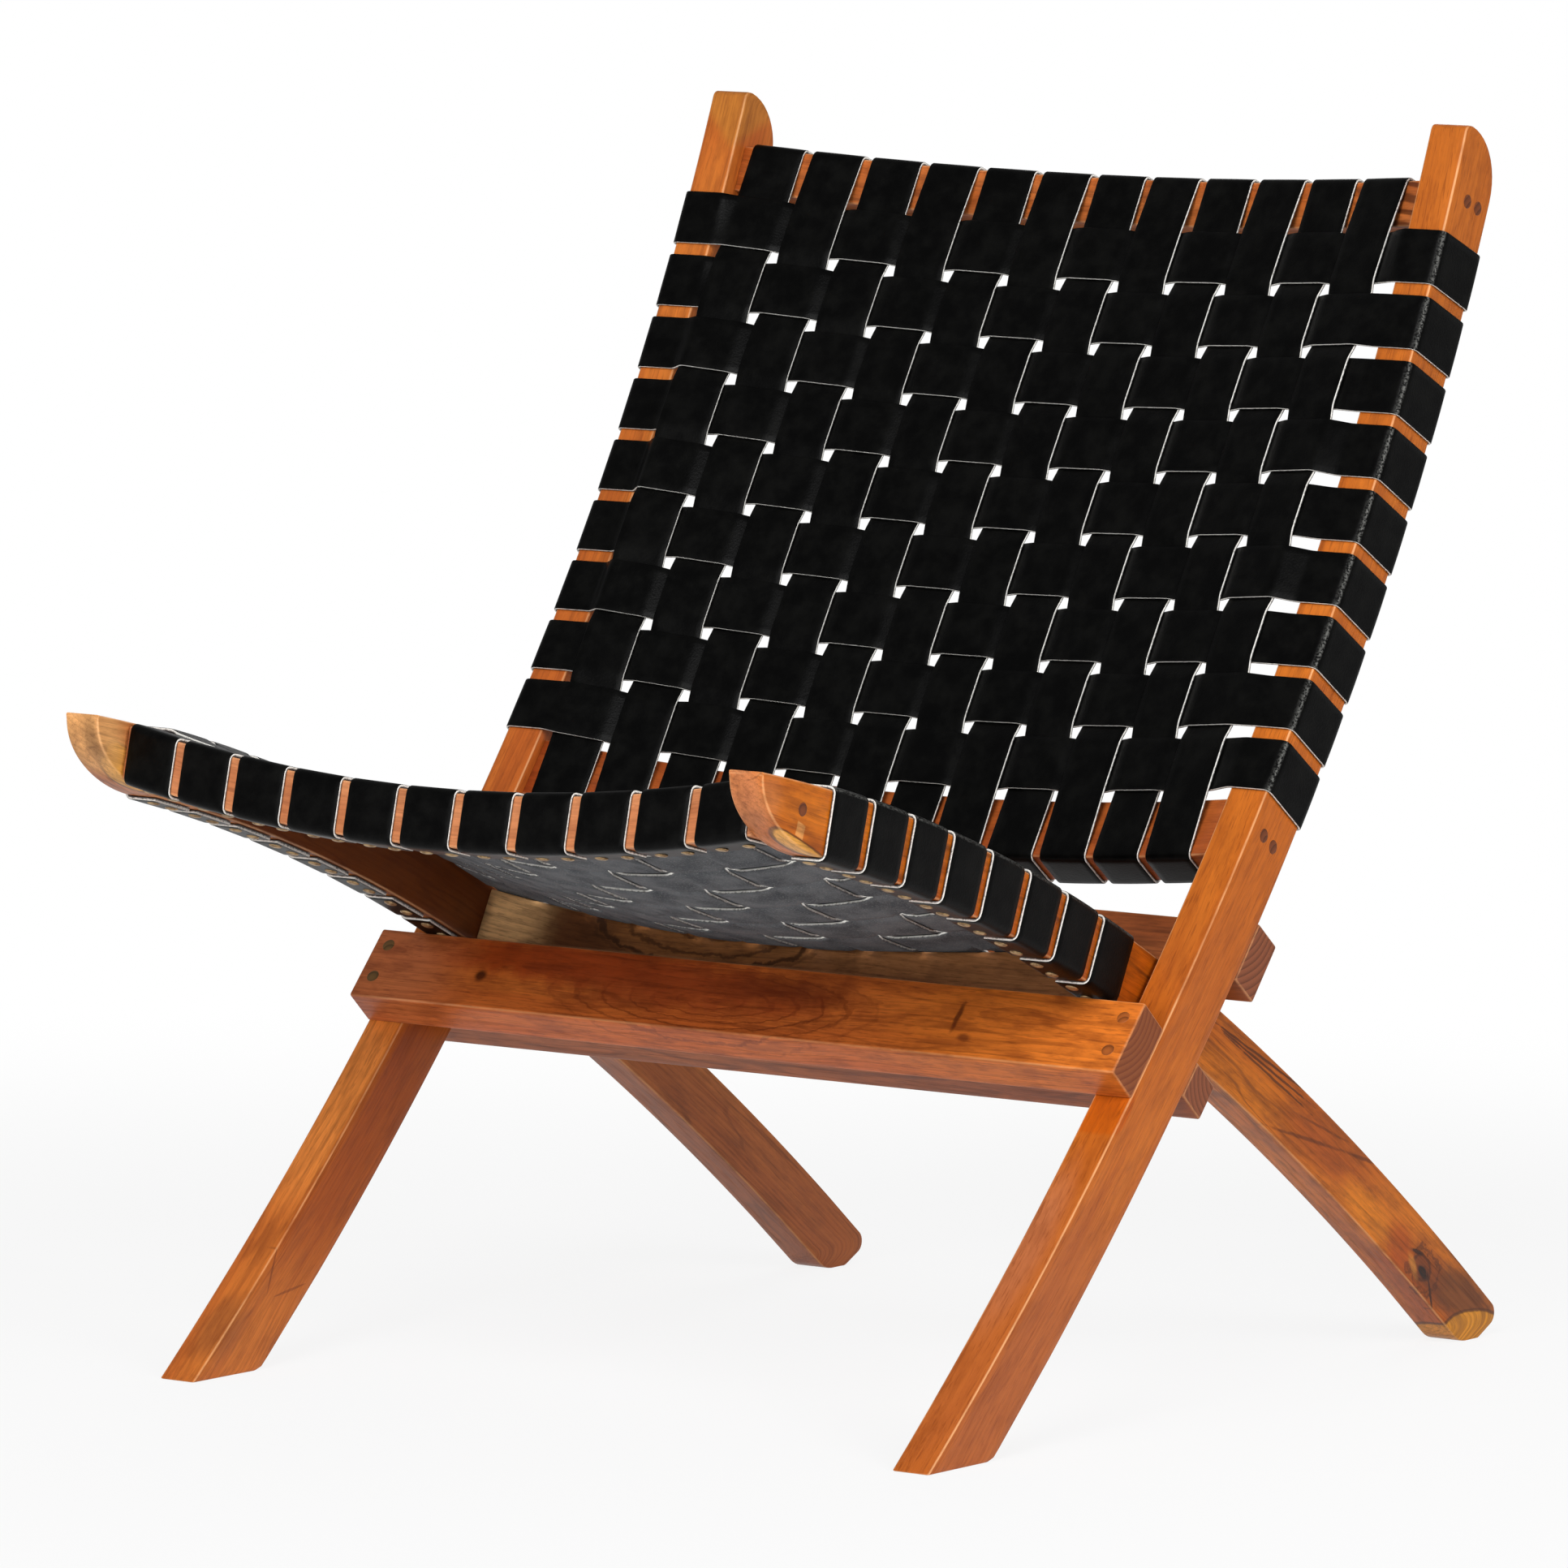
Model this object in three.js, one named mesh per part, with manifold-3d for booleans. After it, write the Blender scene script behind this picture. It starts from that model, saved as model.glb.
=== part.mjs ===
// Lounge chair of two interlocking timber frames, each with a panel of woven leather straps.
// The long back rails stand on the front feet, and the seat frame passes between them:
// it rests on the front beam, is held down by the upper rear beam and ends in the rear feet.
// Units are millimetres, +Z is up, the sitter faces -Y and the floor is z = 0.

import * as THREE from 'three';
import { mergeVertices } from 'three/addons/utils/BufferGeometryUtils.js';
import Module from 'manifold-3d';

// Fits shared by all pieces
const fitGap = 0.4; // between pieces that touch
const edgeEase = 2; // chamfer along every timber edge
const sideClearance = 1.2; // between the seat straps and the back rails, each side

// Back rails, measured along their front face from the foot
const frameWidth = 620; // over the outer faces of the back rails
const backRailWidth = 28.6;
const backRailDepth = 47.4;
const backFootLean = 49.7; // degrees from upright at the floor
const backLegLength = 500;
const backLegBend = 2549; // bend radius of the leg part
const backTopLength = 549.4;
const backTopBend = 1770; // bend radius of the upper part
const backTopRounding = 39; // rear corner of the top end
const backTopCorner = 5; // front corner of the top end
const frontFootRounding = 15;

// Seat rails, measured along their top face from the foot
const seatRailWidth = 26.4;
const seatRailDepth = 43.4;
const stance = 754.6; // from the tips of the front feet to where the top faces would meet the floor
const seatFootLean = 51.2; // degrees from upright at the floor
const seatLegLength = 445;
const seatLegBend = 3088;
const seatLength = 572;
const seatBend = 1733;
const noseLength = 76; // the nose is a quarter ellipse this long
const rearFootRounding = 36;
const rearTipRounding = 8;
const rearTipCut = 22; // from the floor up the top face to the end cut
const rearTipLanding = 45; // from there along the floor to the end cut's lower edge

// Cross rails of the back, with their middles bowed away from the sitter
const backRailBow = 30;
const backCrossThickness = 30;
const topRailHeight = 33;
const topRailInset = 12; // behind the front face of the back rails, at the ends
const topRailSetback = 36.5; // from the top of the back rails to the rail's top face
const bottomRailHeight = 44;
const bottomRailInset = 7;
const bottomRailGap = 24.5; // from the upper rear beam up the back rails to the rail's lower face

// Cross rails of the seat
const seatCrossDrop = 2.5; // below the top face of the seat rails, at the ends
const seatCrossThickness = 27;
const frontRailHeight = 35;
const frontRailBow = 25;
const frontRailSetback = 34; // from the nose tips to the rail's front face
const rearRailFoot = 4; // from the rail's straight lower edge up to the underside of the seat rails
const rearRailBow = 19;
const rearRailSetback = 455; // from the nose tips to the rail's front face

// Beams on the faces of the back rails
const frontBeamHeight = 56;
const frontBeamThickness = 29.3;
const upperBeamHeight = 44.5;
const lowerBeamHeight = 26.7;
const rearBeamThickness = 27.6;
const upperBeamPlay = 1.6; // between the seat rails and the upper rear beam
const lowerBeamPlay = 15; // between the seat rails and the lower rear beam

// Dowels through the back rails into the top and bottom rails
const dowelDiameter = 8.4;
const dowelSpacing = 14;
const dowelReach = 14; // into the cross rail
const dowelClearance = 0.15;
const topDowelRise = 5; // above the middle of the top rail
const bottomDowelRise = 0;

// Leather straps
const strapWidth = 38;
const strapThickness = 2.5;
const strapTail = 14; // length of a strap's end behind its cross rail
const backStrapSpace = 7; // least gap between neighbours
const backSideMargin = 10.5; // from the back rails to the first upright strap
const backRowSetback = 76.5; // from the top of the back rails to the first row
const backRowMargin = 3; // from the last row to the bottom rail
const seatStrapSpace = 5;
const seatSideMargin = 3.5;
const seatRowSetback = 77; // from the nose tips to the first row
const seatRowMargin = 14; // from the last row to the rear rail
const seatSag = 22; // hang of the seat's middle below its two cross rails
const strapEndMargin = 3; // from a strap's end to the edge of the rail face it lies on

// Sampling
const arcSamples = 11; // points on each arc of a rail
const bowSamples = 12; // steps along a bowed edge
const roundSamples = 5; // steps round a corner or the nose's quarter
const dowelSides = 16;
const searchSteps = 40;

const timber = { oiled: 0xb8662f, dark: 0x8f4a22, plug: 0x5c3320 };
const leather = { top: 0x14130f };

const radians = THREE.MathUtils.degToRad;
const wasm = await Module();
wasm.setup();

const chair = new THREE.Group();
const placed = new THREE.Group();
chair.add(placed);

function addPart(name, geometry, color, roughness) {
  const mesh = new THREE.Mesh(geometry, new THREE.MeshStandardMaterial({ color, roughness, metalness: 0 }));
  mesh.name = name;
  placed.add(mesh);
}

// A rail's guide line in the side view: tangent arcs that climb from a foot on the floor.
// heading is +1 for a climb towards the back and -1 for one towards the front,
// and turn is +1 where the lean from upright grows with the climb.
class RailLine {
  constructor({ footY, footLean, heading, turn, arcs }) {
    this.heading = heading;
    this.turn = turn;
    this.spans = [];
    this.length = 0;
    let span = { start: 0, y: footY, z: 0, lean: radians(footLean) };
    for (const { length, bend } of arcs) {
      span.bend = bend;
      this.spans.push(span);
      this.length += length;
      span = { start: this.length, ...this.along(span, length) };
    }
  }

  along(span, distance) {
    const lean = span.lean + (this.turn * distance) / span.bend;
    const reach = this.turn * span.bend;
    return {
      lean,
      y: span.y + this.heading * reach * (Math.cos(span.lean) - Math.cos(lean)),
      z: span.z + reach * (Math.sin(lean) - Math.sin(span.lean)),
    };
  }

  // The rail's local directions at a distance from the foot
  frame(distance) {
    const span = this.spans.findLast((item) => item.start <= distance) ?? this.spans[0];
    const { y, z, lean } = this.along(span, distance - span.start);
    return {
      origin: new THREE.Vector3(0, y, z),
      up: new THREE.Vector3(0, this.heading * Math.sin(lean), Math.cos(lean)),
      depth: new THREE.Vector3(0, this.heading * Math.cos(lean), -Math.sin(lean)),
    };
  }

  // A point at a distance from the foot, x across the chair and a depth below the rail's face
  point(distance, x, depth) {
    const frame = this.frame(distance);
    return frame.origin.addScaledVector(frame.depth, depth).setX(x);
  }

  // How deep a point lies below the rail's face
  depthOf(point) {
    let distance = this.length / 2;
    let frame = this.frame(distance);
    for (let step = 0; step < searchSteps; step += 1) {
      distance += point.clone().sub(frame.origin).dot(frame.up);
      frame = this.frame(distance);
    }
    return point.clone().sub(frame.origin).dot(frame.depth);
  }

  // Where the rail's lower face meets the floor
  floorDistance(depth) {
    return solve((distance) => -this.point(distance, 0, depth).z, 0, this.length);
  }
}

// The value at which a falling function reaches zero
function solve(fallingFunction, low, high) {
  for (let step = 0; step < searchSteps; step += 1) {
    const middle = (low + high) / 2;
    if (fallingFunction(middle) > 0) low = middle;
    else high = middle;
  }
  return (low + high) / 2;
}

const backLine = new RailLine({
  footY: 0,
  footLean: backFootLean,
  heading: 1,
  turn: -1,
  arcs: [
    { length: backLegLength, bend: backLegBend },
    { length: backTopLength, bend: backTopBend },
  ],
});
const seatLine = new RailLine({
  footY: stance,
  footLean: seatFootLean,
  heading: -1,
  turn: 1,
  arcs: [
    { length: seatLegLength, bend: seatLegBend },
    { length: seatLength, bend: seatBend },
  ],
});

const strapLayer = fitGap + strapThickness; // what one strap adds on a face
const strapRise = fitGap + strapThickness / 2; // from a face to the middle of the strap on it
const weaveRise = strapLayer / 2; // from the woven surface to the middle of a strap
const backInner = frameWidth / 2 - backRailWidth; // half the space between the back rails
const seatOuter = backInner - sideClearance - strapLayer;
const seatInner = seatOuter - seatRailWidth;

// Outlines

// A closed outline whose corners with a radius are rounded by arcs, limited by the edges beside them
function roundedOutline(corners) {
  const count = corners.length;
  const turns = corners.map(({ at, radius = 0 }, index) => {
    const back = corners[(index + count - 1) % count].at.clone().sub(at);
    const ahead = corners[(index + 1) % count].at.clone().sub(at);
    const halfAngle = Math.abs(Math.atan2(back.cross(ahead), back.dot(ahead))) / 2;
    return { at, back, ahead, halfAngle, reach: radius / Math.tan(halfAngle) };
  });
  const outline = [];
  turns.forEach((turn, index) => {
    if (turn.reach === 0) {
      outline.push(turn.at.clone());
      return;
    }
    const roomBack = turn.back.length() / (turn.reach + turns[(index + count - 1) % count].reach);
    const roomAhead = turn.ahead.length() / (turn.reach + turns[(index + 1) % count].reach);
    const reach = turn.reach * Math.min(1, 0.95 * roomBack, 0.95 * roomAhead);
    const toBack = turn.back.clone().normalize();
    const toAhead = turn.ahead.clone().normalize();
    const middle = toBack.clone().add(toAhead).normalize();
    const centre = turn.at.clone().addScaledVector(middle, reach / Math.cos(turn.halfAngle));
    const start = turn.at.clone().addScaledVector(toBack, reach).sub(centre);
    const end = turn.at.clone().addScaledVector(toAhead, reach).sub(centre);
    const sweep = Math.atan2(start.cross(end), start.dot(end));
    const pivot = new THREE.Vector2();
    for (let step = 0; step <= roundSamples; step += 1) {
      const turned = start.clone().rotateAround(pivot, (sweep * step) / roundSamples);
      outline.push(turned.add(centre));
    }
  });
  return outline;
}

function spread(from, to, steps) {
  return Array.from({ length: steps + 1 }, (unused, step) => THREE.MathUtils.lerp(from, to, step / steps));
}

// A timber: an outline in the plane of two directions, extruded evenly to both sides along the third
function timberPiece(outline, width, basis, origin) {
  const geometry = new THREE.ExtrudeGeometry(new THREE.Shape(outline), {
    depth: width - 2 * edgeEase,
    bevelThickness: edgeEase,
    bevelSize: edgeEase,
    bevelOffset: -edgeEase,
    bevelSegments: 1,
    steps: 1,
  });
  geometry.translate(0, 0, edgeEase - width / 2);
  geometry.applyMatrix4(new THREE.Matrix4().makeBasis(...basis).setPosition(origin));
  return geometry;
}

// A rail cut from a plank: its outline stands in the side view and its width runs along X
function plankRail(outline, width, x) {
  const basis = [new THREE.Vector3(0, 1, 0), new THREE.Vector3(0, 0, 1), new THREE.Vector3(1, 0, 0)];
  return timberPiece(outline, width, basis, new THREE.Vector3(x, 0, 0));
}

// A bar across the chair, at a distance along a rail line: its outline lies in X and the depth direction
function crossBar(line, distance, outline, height) {
  const { origin, depth } = line.frame(distance);
  const across = new THREE.Vector3(1, 0, 0);
  return timberPiece(outline, height, [across, depth, across.clone().cross(depth)], origin);
}

// Booleans

function toSolid(geometry) {
  const bare = geometry.clone();
  bare.deleteAttribute('normal');
  bare.deleteAttribute('uv');
  const merged = mergeVertices(bare);
  const vertProperties = new Float32Array(merged.attributes.position.array);
  const triVerts = new Uint32Array(merged.index.array);
  return new wasm.Manifold(new wasm.Mesh({ numProp: 3, vertProperties, triVerts }));
}

function cutAway(geometry, cutters) {
  let solid = toSolid(geometry);
  for (const cutter of cutters) solid = solid.subtract(toSolid(cutter));
  const { vertProperties, triVerts } = solid.getMesh();
  const result = new THREE.BufferGeometry();
  result.setAttribute('position', new THREE.BufferAttribute(vertProperties, 3));
  result.setIndex(new THREE.BufferAttribute(triVerts, 1));
  return result;
}

// Back frame timbers

const backLength = backLine.length;
const sideView = ({ y, z }) => new THREE.Vector2(y, z);
const backCorner = (distance, depth) => sideView(backLine.point(distance, 0, depth));
const seatCorner = (distance, depth) => sideView(seatLine.point(distance, 0, depth));

// The rail's face follows the guide line, and its foot is cut level with the floor
function backRailOutline() {
  const heel = backLine.floorDistance(backRailDepth);
  const heelRoom = 2 * frontFootRounding;
  const topRoom = 1.4 * backTopRounding;
  const face = spread(0, backLength, 2 * arcSamples).slice(0, -1);
  const rear = spread(backLength - topRoom, heel + heelRoom, 2 * arcSamples);
  return roundedOutline([
    ...face.map((distance) => ({ at: backCorner(distance, 0) })),
    { at: backCorner(backLength, 0), radius: backTopCorner },
    { at: backCorner(backLength, backRailDepth), radius: backTopRounding },
    ...rear.map((distance) => ({ at: backCorner(distance, backRailDepth) })),
    { at: backCorner(heel, backRailDepth), radius: frontFootRounding },
  ]);
}

const bowAt = (x, halfLength, bow) => bow * (1 - (x / halfLength) ** 2);

// The outline of a bar whose near edge is bowed; its far edge is parallel, or straight at a given depth
function bowedOutline(halfLength, bow, nearDepth, thickness, straightDepth) {
  const near = spread(fitGap - halfLength, halfLength - fitGap, bowSamples);
  const bowed = (x, depth) => new THREE.Vector2(x, depth + bowAt(x, halfLength, bow));
  const far = near.toReversed();
  const farEdge = straightDepth === undefined
    ? far.map((x) => bowed(x, nearDepth + thickness))
    : far.map((x) => new THREE.Vector2(x, straightDepth));
  return [...near.map((x) => bowed(x, nearDepth)), ...farEdge];
}

function beamOutline(nearDepth, thickness) {
  const half = frameWidth / 2;
  const far = nearDepth + thickness;
  return [[-half, nearDepth], [half, nearDepth], [half, far], [-half, far]]
    .map(([x, depth]) => new THREE.Vector2(x, depth));
}

// Beams: each is moved along the back rails until the seat rails pass it with their play

function beamCorners(middle, height, nearDepth, thickness) {
  const { origin, up, depth } = backLine.frame(middle);
  return [nearDepth, nearDepth + thickness]
    .map((at) => origin.clone().addScaledVector(up, height / 2).addScaledVector(depth, at));
}

function lowestSeatDepth(corners) {
  return Math.min(...corners.map((corner) => seatLine.depthOf(corner)));
}

function highestSeatDepth(corners) {
  return Math.max(...corners.map((corner) => seatLine.depthOf(corner)));
}

const frontBeamDepth = -fitGap - frontBeamThickness;
const rearBeamDepth = backRailDepth + fitGap;
const beams = [
  {
    name: 'front_beam',
    height: frontBeamHeight,
    near: frontBeamDepth,
    thickness: frontBeamThickness,
    clearance: (corners) => lowestSeatDepth(corners) - seatRailDepth - strapLayer - fitGap,
    edge: 1,
  },
  {
    name: 'rear_beam_upper',
    height: upperBeamHeight,
    near: rearBeamDepth,
    thickness: rearBeamThickness,
    clearance: (corners) => highestSeatDepth(corners) + upperBeamPlay,
    edge: -1,
  },
  {
    name: 'rear_beam_lower',
    height: lowerBeamHeight,
    near: rearBeamDepth,
    thickness: rearBeamThickness,
    clearance: (corners) => lowestSeatDepth(corners) - seatRailDepth - lowerBeamPlay,
    edge: 1,
  },
];
for (const beam of beams) {
  const { name, height, near, thickness, clearance, edge } = beam;
  const room = (middle) => clearance(beamCorners(middle, edge * height, near, thickness));
  beam.middle = solve(room, 0, backLength);
  const bar = crossBar(backLine, beam.middle, beamOutline(near, thickness), height);
  addPart(name, bar, timber.dark, 0.5);
}
const [, upperBeam] = beams;


// Cross rails of the back, and the dowels that hold them

const bottomRailFoot = upperBeam.middle + upperBeamHeight / 2 + bottomRailGap;
const backCrossRails = [
  {
    name: 'back_top_rail',
    middle: backLength - topRailSetback - topRailHeight / 2,
    height: topRailHeight,
    inset: topRailInset,
    dowelRise: topDowelRise,
  },
  {
    name: 'back_bottom_rail',
    middle: bottomRailFoot + bottomRailHeight / 2,
    height: bottomRailHeight,
    inset: bottomRailInset,
    dowelRise: bottomDowelRise,
  },
];
const [topRail, bottomRail] = backCrossRails;

const sides = [
  { label: 'left', sign: -1 },
  { label: 'right', sign: 1 },
];

// A dowel along X, from the outer face of a back rail into the end of a cross rail
function dowel(rail, sign, shift, diameter, extra) {
  const length = backRailWidth + dowelReach + extra;
  const geometry = new THREE.CylinderGeometry(diameter / 2, diameter / 2, length, dowelSides);
  geometry.rotateZ(Math.PI / 2);
  const depth = rail.inset + backCrossThickness / 2 + shift;
  const x = frameWidth / 2 - backRailWidth / 2 - dowelReach / 2;
  const centre = backLine.point(rail.middle + rail.dowelRise, sign * x, depth);
  return geometry.translate(centre.x, centre.y, centre.z);
}

const dowelShifts = [
  { label: 'front', shift: -dowelSpacing / 2 },
  { label: 'rear', shift: dowelSpacing / 2 },
];
const dowelHole = dowelDiameter + 2 * dowelClearance;
const holeExtra = 2 * fitGap; // the hole runs past both ends of its dowel

function dowelHoles(rail, sign) {
  return dowelShifts.map(({ shift }) => dowel(rail, sign, shift, dowelHole, holeExtra));
}

for (const { label, sign } of sides) {
  const x = sign * (frameWidth / 2 - backRailWidth / 2);
  const rail = plankRail(backRailOutline(), backRailWidth, x);
  const holes = backCrossRails.flatMap((crossRail) => dowelHoles(crossRail, sign));
  addPart(`back_rail_${label}`, cutAway(rail, holes), timber.oiled, 0.5);
}

for (const rail of backCrossRails) {
  const outline = bowedOutline(backInner, backRailBow, rail.inset, backCrossThickness);
  const bar = crossBar(backLine, rail.middle, outline, rail.height);
  const holes = sides.flatMap(({ sign }) => dowelHoles(rail, sign));
  addPart(rail.name, cutAway(bar, holes), timber.oiled, 0.5);
  for (const { label: side, sign } of sides) {
    for (const { label, shift } of dowelShifts) {
      const pin = dowel(rail, sign, shift, dowelDiameter, 0);
      addPart(`${rail.name}_dowel_${side}_${label}`, pin, timber.plug, 0.6);
    }
  }
}

// Seat frame timbers

const seatTotal = seatLine.length;

// The rail's nose is a quarter ellipse, and its foot is cut level with the floor and then off at its end
function seatRailOutline() {
  const heel = seatLine.floorDistance(seatRailDepth);
  const noseStart = seatTotal - noseLength;
  const top = spread(rearTipCut, seatTotal, 2 * arcSamples).slice(1, -1);
  const nose = spread(0, Math.PI / 2, 2 * roundSamples);
  const under = spread(noseStart, heel + rearFootRounding, 2 * arcSamples).slice(1);
  return roundedOutline([
    { at: seatCorner(rearTipCut, 0), radius: rearTipRounding },
    ...top.map((distance) => ({ at: seatCorner(distance, 0) })),
    ...nose.map((angle) => ({
      at: seatCorner(noseStart + noseLength * Math.cos(angle), seatRailDepth * Math.sin(angle)),
    })),
    ...under.map((distance) => ({ at: seatCorner(distance, seatRailDepth) })),
    { at: seatCorner(heel, seatRailDepth), radius: rearFootRounding },
    { at: new THREE.Vector2(stance - rearTipLanding, 0), radius: rearTipRounding },
  ]);
}

for (const { label, sign } of sides) {
  const x = sign * (seatOuter - seatRailWidth / 2);
  addPart(`seat_rail_${label}`, plankRail(seatRailOutline(), seatRailWidth, x), timber.oiled, 0.5);
}

const frontRail = {
  middle: seatTotal - frontRailSetback - seatCrossThickness / 2,
  bow: frontRailBow,
};
const rearRail = {
  middle: seatTotal - rearRailSetback - seatCrossThickness / 2,
  bow: rearRailBow,
};
const frontOutline = bowedOutline(seatInner, frontRailBow, seatCrossDrop, frontRailHeight);
const rearOutline = bowedOutline(seatInner, rearRailBow, seatCrossDrop, 0, seatRailDepth - rearRailFoot);
const frontBar = crossBar(seatLine, frontRail.middle, frontOutline, seatCrossThickness);
const rearBar = crossBar(seatLine, rearRail.middle, rearOutline, seatCrossThickness);
addPart('seat_front_rail', frontBar, timber.oiled, 0.5);
addPart('seat_rear_rail', rearBar, timber.dark, 0.5);

// Straps

// A strap is a closed ribbon through stations, each with its two edge points and their outward normals
function ribbon(stations) {
  const half = strapThickness / 2;
  const points = stations.flatMap(({ edges, normals }) => [
    edges[0].clone().addScaledVector(normals[0], half),
    edges[1].clone().addScaledVector(normals[1], half),
    edges[1].clone().addScaledVector(normals[1], -half),
    edges[0].clone().addScaledVector(normals[0], -half),
  ]);
  const last = points.length - 4;
  const faces = [[0, 1, 2], [0, 2, 3], [last, last + 2, last + 1], [last, last + 3, last + 2]];
  for (let a = 0; a < last; a += 4) {
    const b = a + 4;
    faces.push([a, b + 1, a + 1], [a, b, b + 1]); // outer face
    faces.push([a + 1, b + 1, b + 2], [a + 1, b + 2, a + 2]);
    faces.push([a + 3, a + 2, b + 2], [a + 3, b + 2, b + 3]); // inner face, split along the same diagonal
    faces.push([a, a + 3, b + 3], [a, b + 3, b]);
  }
  const volume = faces.reduce((sum, [a, b, c]) => sum + points[a].dot(points[b].clone().cross(points[c])), 0);
  const outward = volume > 0 ? faces : faces.map(([a, b, c]) => [a, c, b]);
  const geometry = new THREE.BufferGeometry().setFromPoints(points);
  geometry.setIndex(outward.flat());
  return geometry;
}

// Even places for as many straps as a span takes with at least the least gap between them
function strapPlaces(start, end, space) {
  const count = Math.floor((end - start + space) / (strapWidth + space));
  return spread(start + strapWidth / 2, end - strapWidth / 2, count - 1);
}

const edgesOf = (place) => [place - strapWidth / 2, place + strapWidth / 2];

// A station of a woven panel: two places on its middle surface, raised or lowered along the surface's normal
function wovenStation({ surface, facing }, places, rise) {
  const step = 1;
  const normals = places.map(([x, along]) => {
    const acrossStep = surface(x + step, along).sub(surface(x - step, along));
    const alongStep = surface(x, along + step).sub(surface(x, along - step));
    return acrossStep.cross(alongStep).normalize().multiplyScalar(facing);
  });
  const edges = places.map(([x, along], index) => surface(x, along).addScaledVector(normals[index], rise));
  return { edges, normals };
}

// Plain weave: rows are counted from the far end of the rails, columns from the left
const isRowOver = (row, column) => (row + column) % 2 === 0;

// The stations of a lengthwise strap at both edges of every row, from the first row to the last
function columnStations(panel, column) {
  const [left, right] = edgesOf(panel.columns[column]);
  return panel.rows.flatMap((place, row) => {
    const rise = isRowOver(row, column) ? -weaveRise : weaveRise;
    const stationAt = (along) => wovenStation(panel, [[left, along], [right, along]], rise);
    return edgesOf(place).toReversed().map(stationAt);
  });
}

// The stations of a row at both edges of every lengthwise strap, from left to right
function rowStations(panel, row) {
  const [low, high] = edgesOf(panel.rows[row]);
  return panel.columns.flatMap((place, column) => {
    const rise = isRowOver(row, column) ? weaveRise : -weaveRise;
    return edgesOf(place).map((x) => wovenStation(panel, [[x, high], [x, low]], rise));
  });
}

// The stations of a row's end: from beside a rail over its face, round its outer side and onto its far face
function rowEnd({ line, inner, outer, depth }, place, sign) {
  const edges = edgesOf(place).toReversed();
  const station = (x, at, outward) => ({
    edges: edges.map((distance) => line.point(distance, sign * x, at)),
    normals: edges.map((distance) => outward(line.frame(distance))),
  });
  const offFace = (frame) => frame.depth.negate();
  const offSide = () => new THREE.Vector3(sign, 0, 0);
  const offFarFace = (frame) => frame.depth;
  return [
    station(inner - edgeEase / 2, -strapRise, offFace),
    station(outer, -strapRise, offFace),
    station(outer + strapRise, 0, offSide),
    station(outer + strapRise, depth, offSide),
    station(outer, depth + strapRise, offFarFace),
    station(inner + strapEndMargin, depth + strapRise, offFarFace),
  ];
}

function rowStrap(panel, row) {
  const place = panel.rows[row];
  return ribbon([
    ...rowEnd(panel, place, -1).toReversed(),
    ...rowStations(panel, row),
    ...rowEnd(panel, place, 1),
  ]);
}

// The stations of a lengthwise strap round a cross rail. The route is given in the bar's own directions:
// run goes up along the rail line, at is the depth and out is the outward direction in those two.
function wrapStations(panel, bar, column) {
  const { origin, up, depth } = panel.line.frame(bar.middle);
  return bar.route.map(({ run, at, out }) => {
    const normal = up.clone().multiplyScalar(out[0]).addScaledVector(depth, out[1]);
    const edge = (x) => origin.clone()
      .addScaledVector(up, run)
      .addScaledVector(depth, at + bowAt(x, panel.inner, bar.bow))
      .setX(x);
    return { edges: edgesOf(panel.columns[column]).map(edge), normals: [normal, normal] };
  });
}

function columnStrap(panel, column) {
  return ribbon([
    ...wrapStations(panel, panel.firstBar, column).toReversed(),
    ...columnStations(panel, column),
    ...wrapStations(panel, panel.lastBar, column),
  ]);
}

// Back panel: upright straps run straight from the top rail's face to the bottom rail's face

function backAnchor(rail, end) {
  const { origin, up, depth } = backLine.frame(rail.middle);
  return (x) => origin.clone()
    .addScaledVector(up, (end * rail.height) / 2)
    .addScaledVector(depth, rail.inset - strapRise + bowAt(x, backInner, backRailBow))
    .setX(x);
}

// From the sitter's face of a back cross rail round its outer edge and along its rear face
function backWrap(rail, end, rearEnd) {
  const edge = (end * rail.height) / 2;
  const face = rail.inset - strapRise;
  const near = rail.inset;
  const far = near + backCrossThickness;
  return {
    middle: rail.middle,
    bow: backRailBow,
    route: [
      { run: edge, at: face, out: [0, -1] },
      { run: edge + end * strapRise, at: near, out: [end, 0] },
      { run: edge + end * strapRise, at: far, out: [end, 0] },
      { run: edge, at: far + strapRise, out: [0, 1] },
      { run: rearEnd, at: far + strapRise, out: [0, 1] },
    ],
  };
}

const backPanelTop = backLength - topRailSetback;
const backPanelBottom = bottomRailFoot;
const topAnchor = backAnchor(topRail, 1);
const bottomAnchor = backAnchor(bottomRail, -1);
const backPanel = {
  line: backLine,
  facing: 1,
  inner: backInner,
  outer: frameWidth / 2,
  depth: backRailDepth,
  surface: (x, along) => {
    const share = (along - backPanelBottom) / (backPanelTop - backPanelBottom);
    return bottomAnchor(x).lerp(topAnchor(x), share);
  },
  columns: strapPlaces(backSideMargin - backInner, backInner - backSideMargin, backStrapSpace),
  rows: strapPlaces(
    bottomRailFoot + bottomRailHeight + backRowMargin,
    backLength - backRowSetback,
    backStrapSpace,
  ).toReversed(),
  firstBar: backWrap(topRail, 1, -topRailHeight / 2 - strapTail),
  lastBar: backWrap(bottomRail, -1, bottomRailHeight / 2 - strapEndMargin),
};

// Seat panel: it hangs from the bowed cross rails and sags between them

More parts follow.
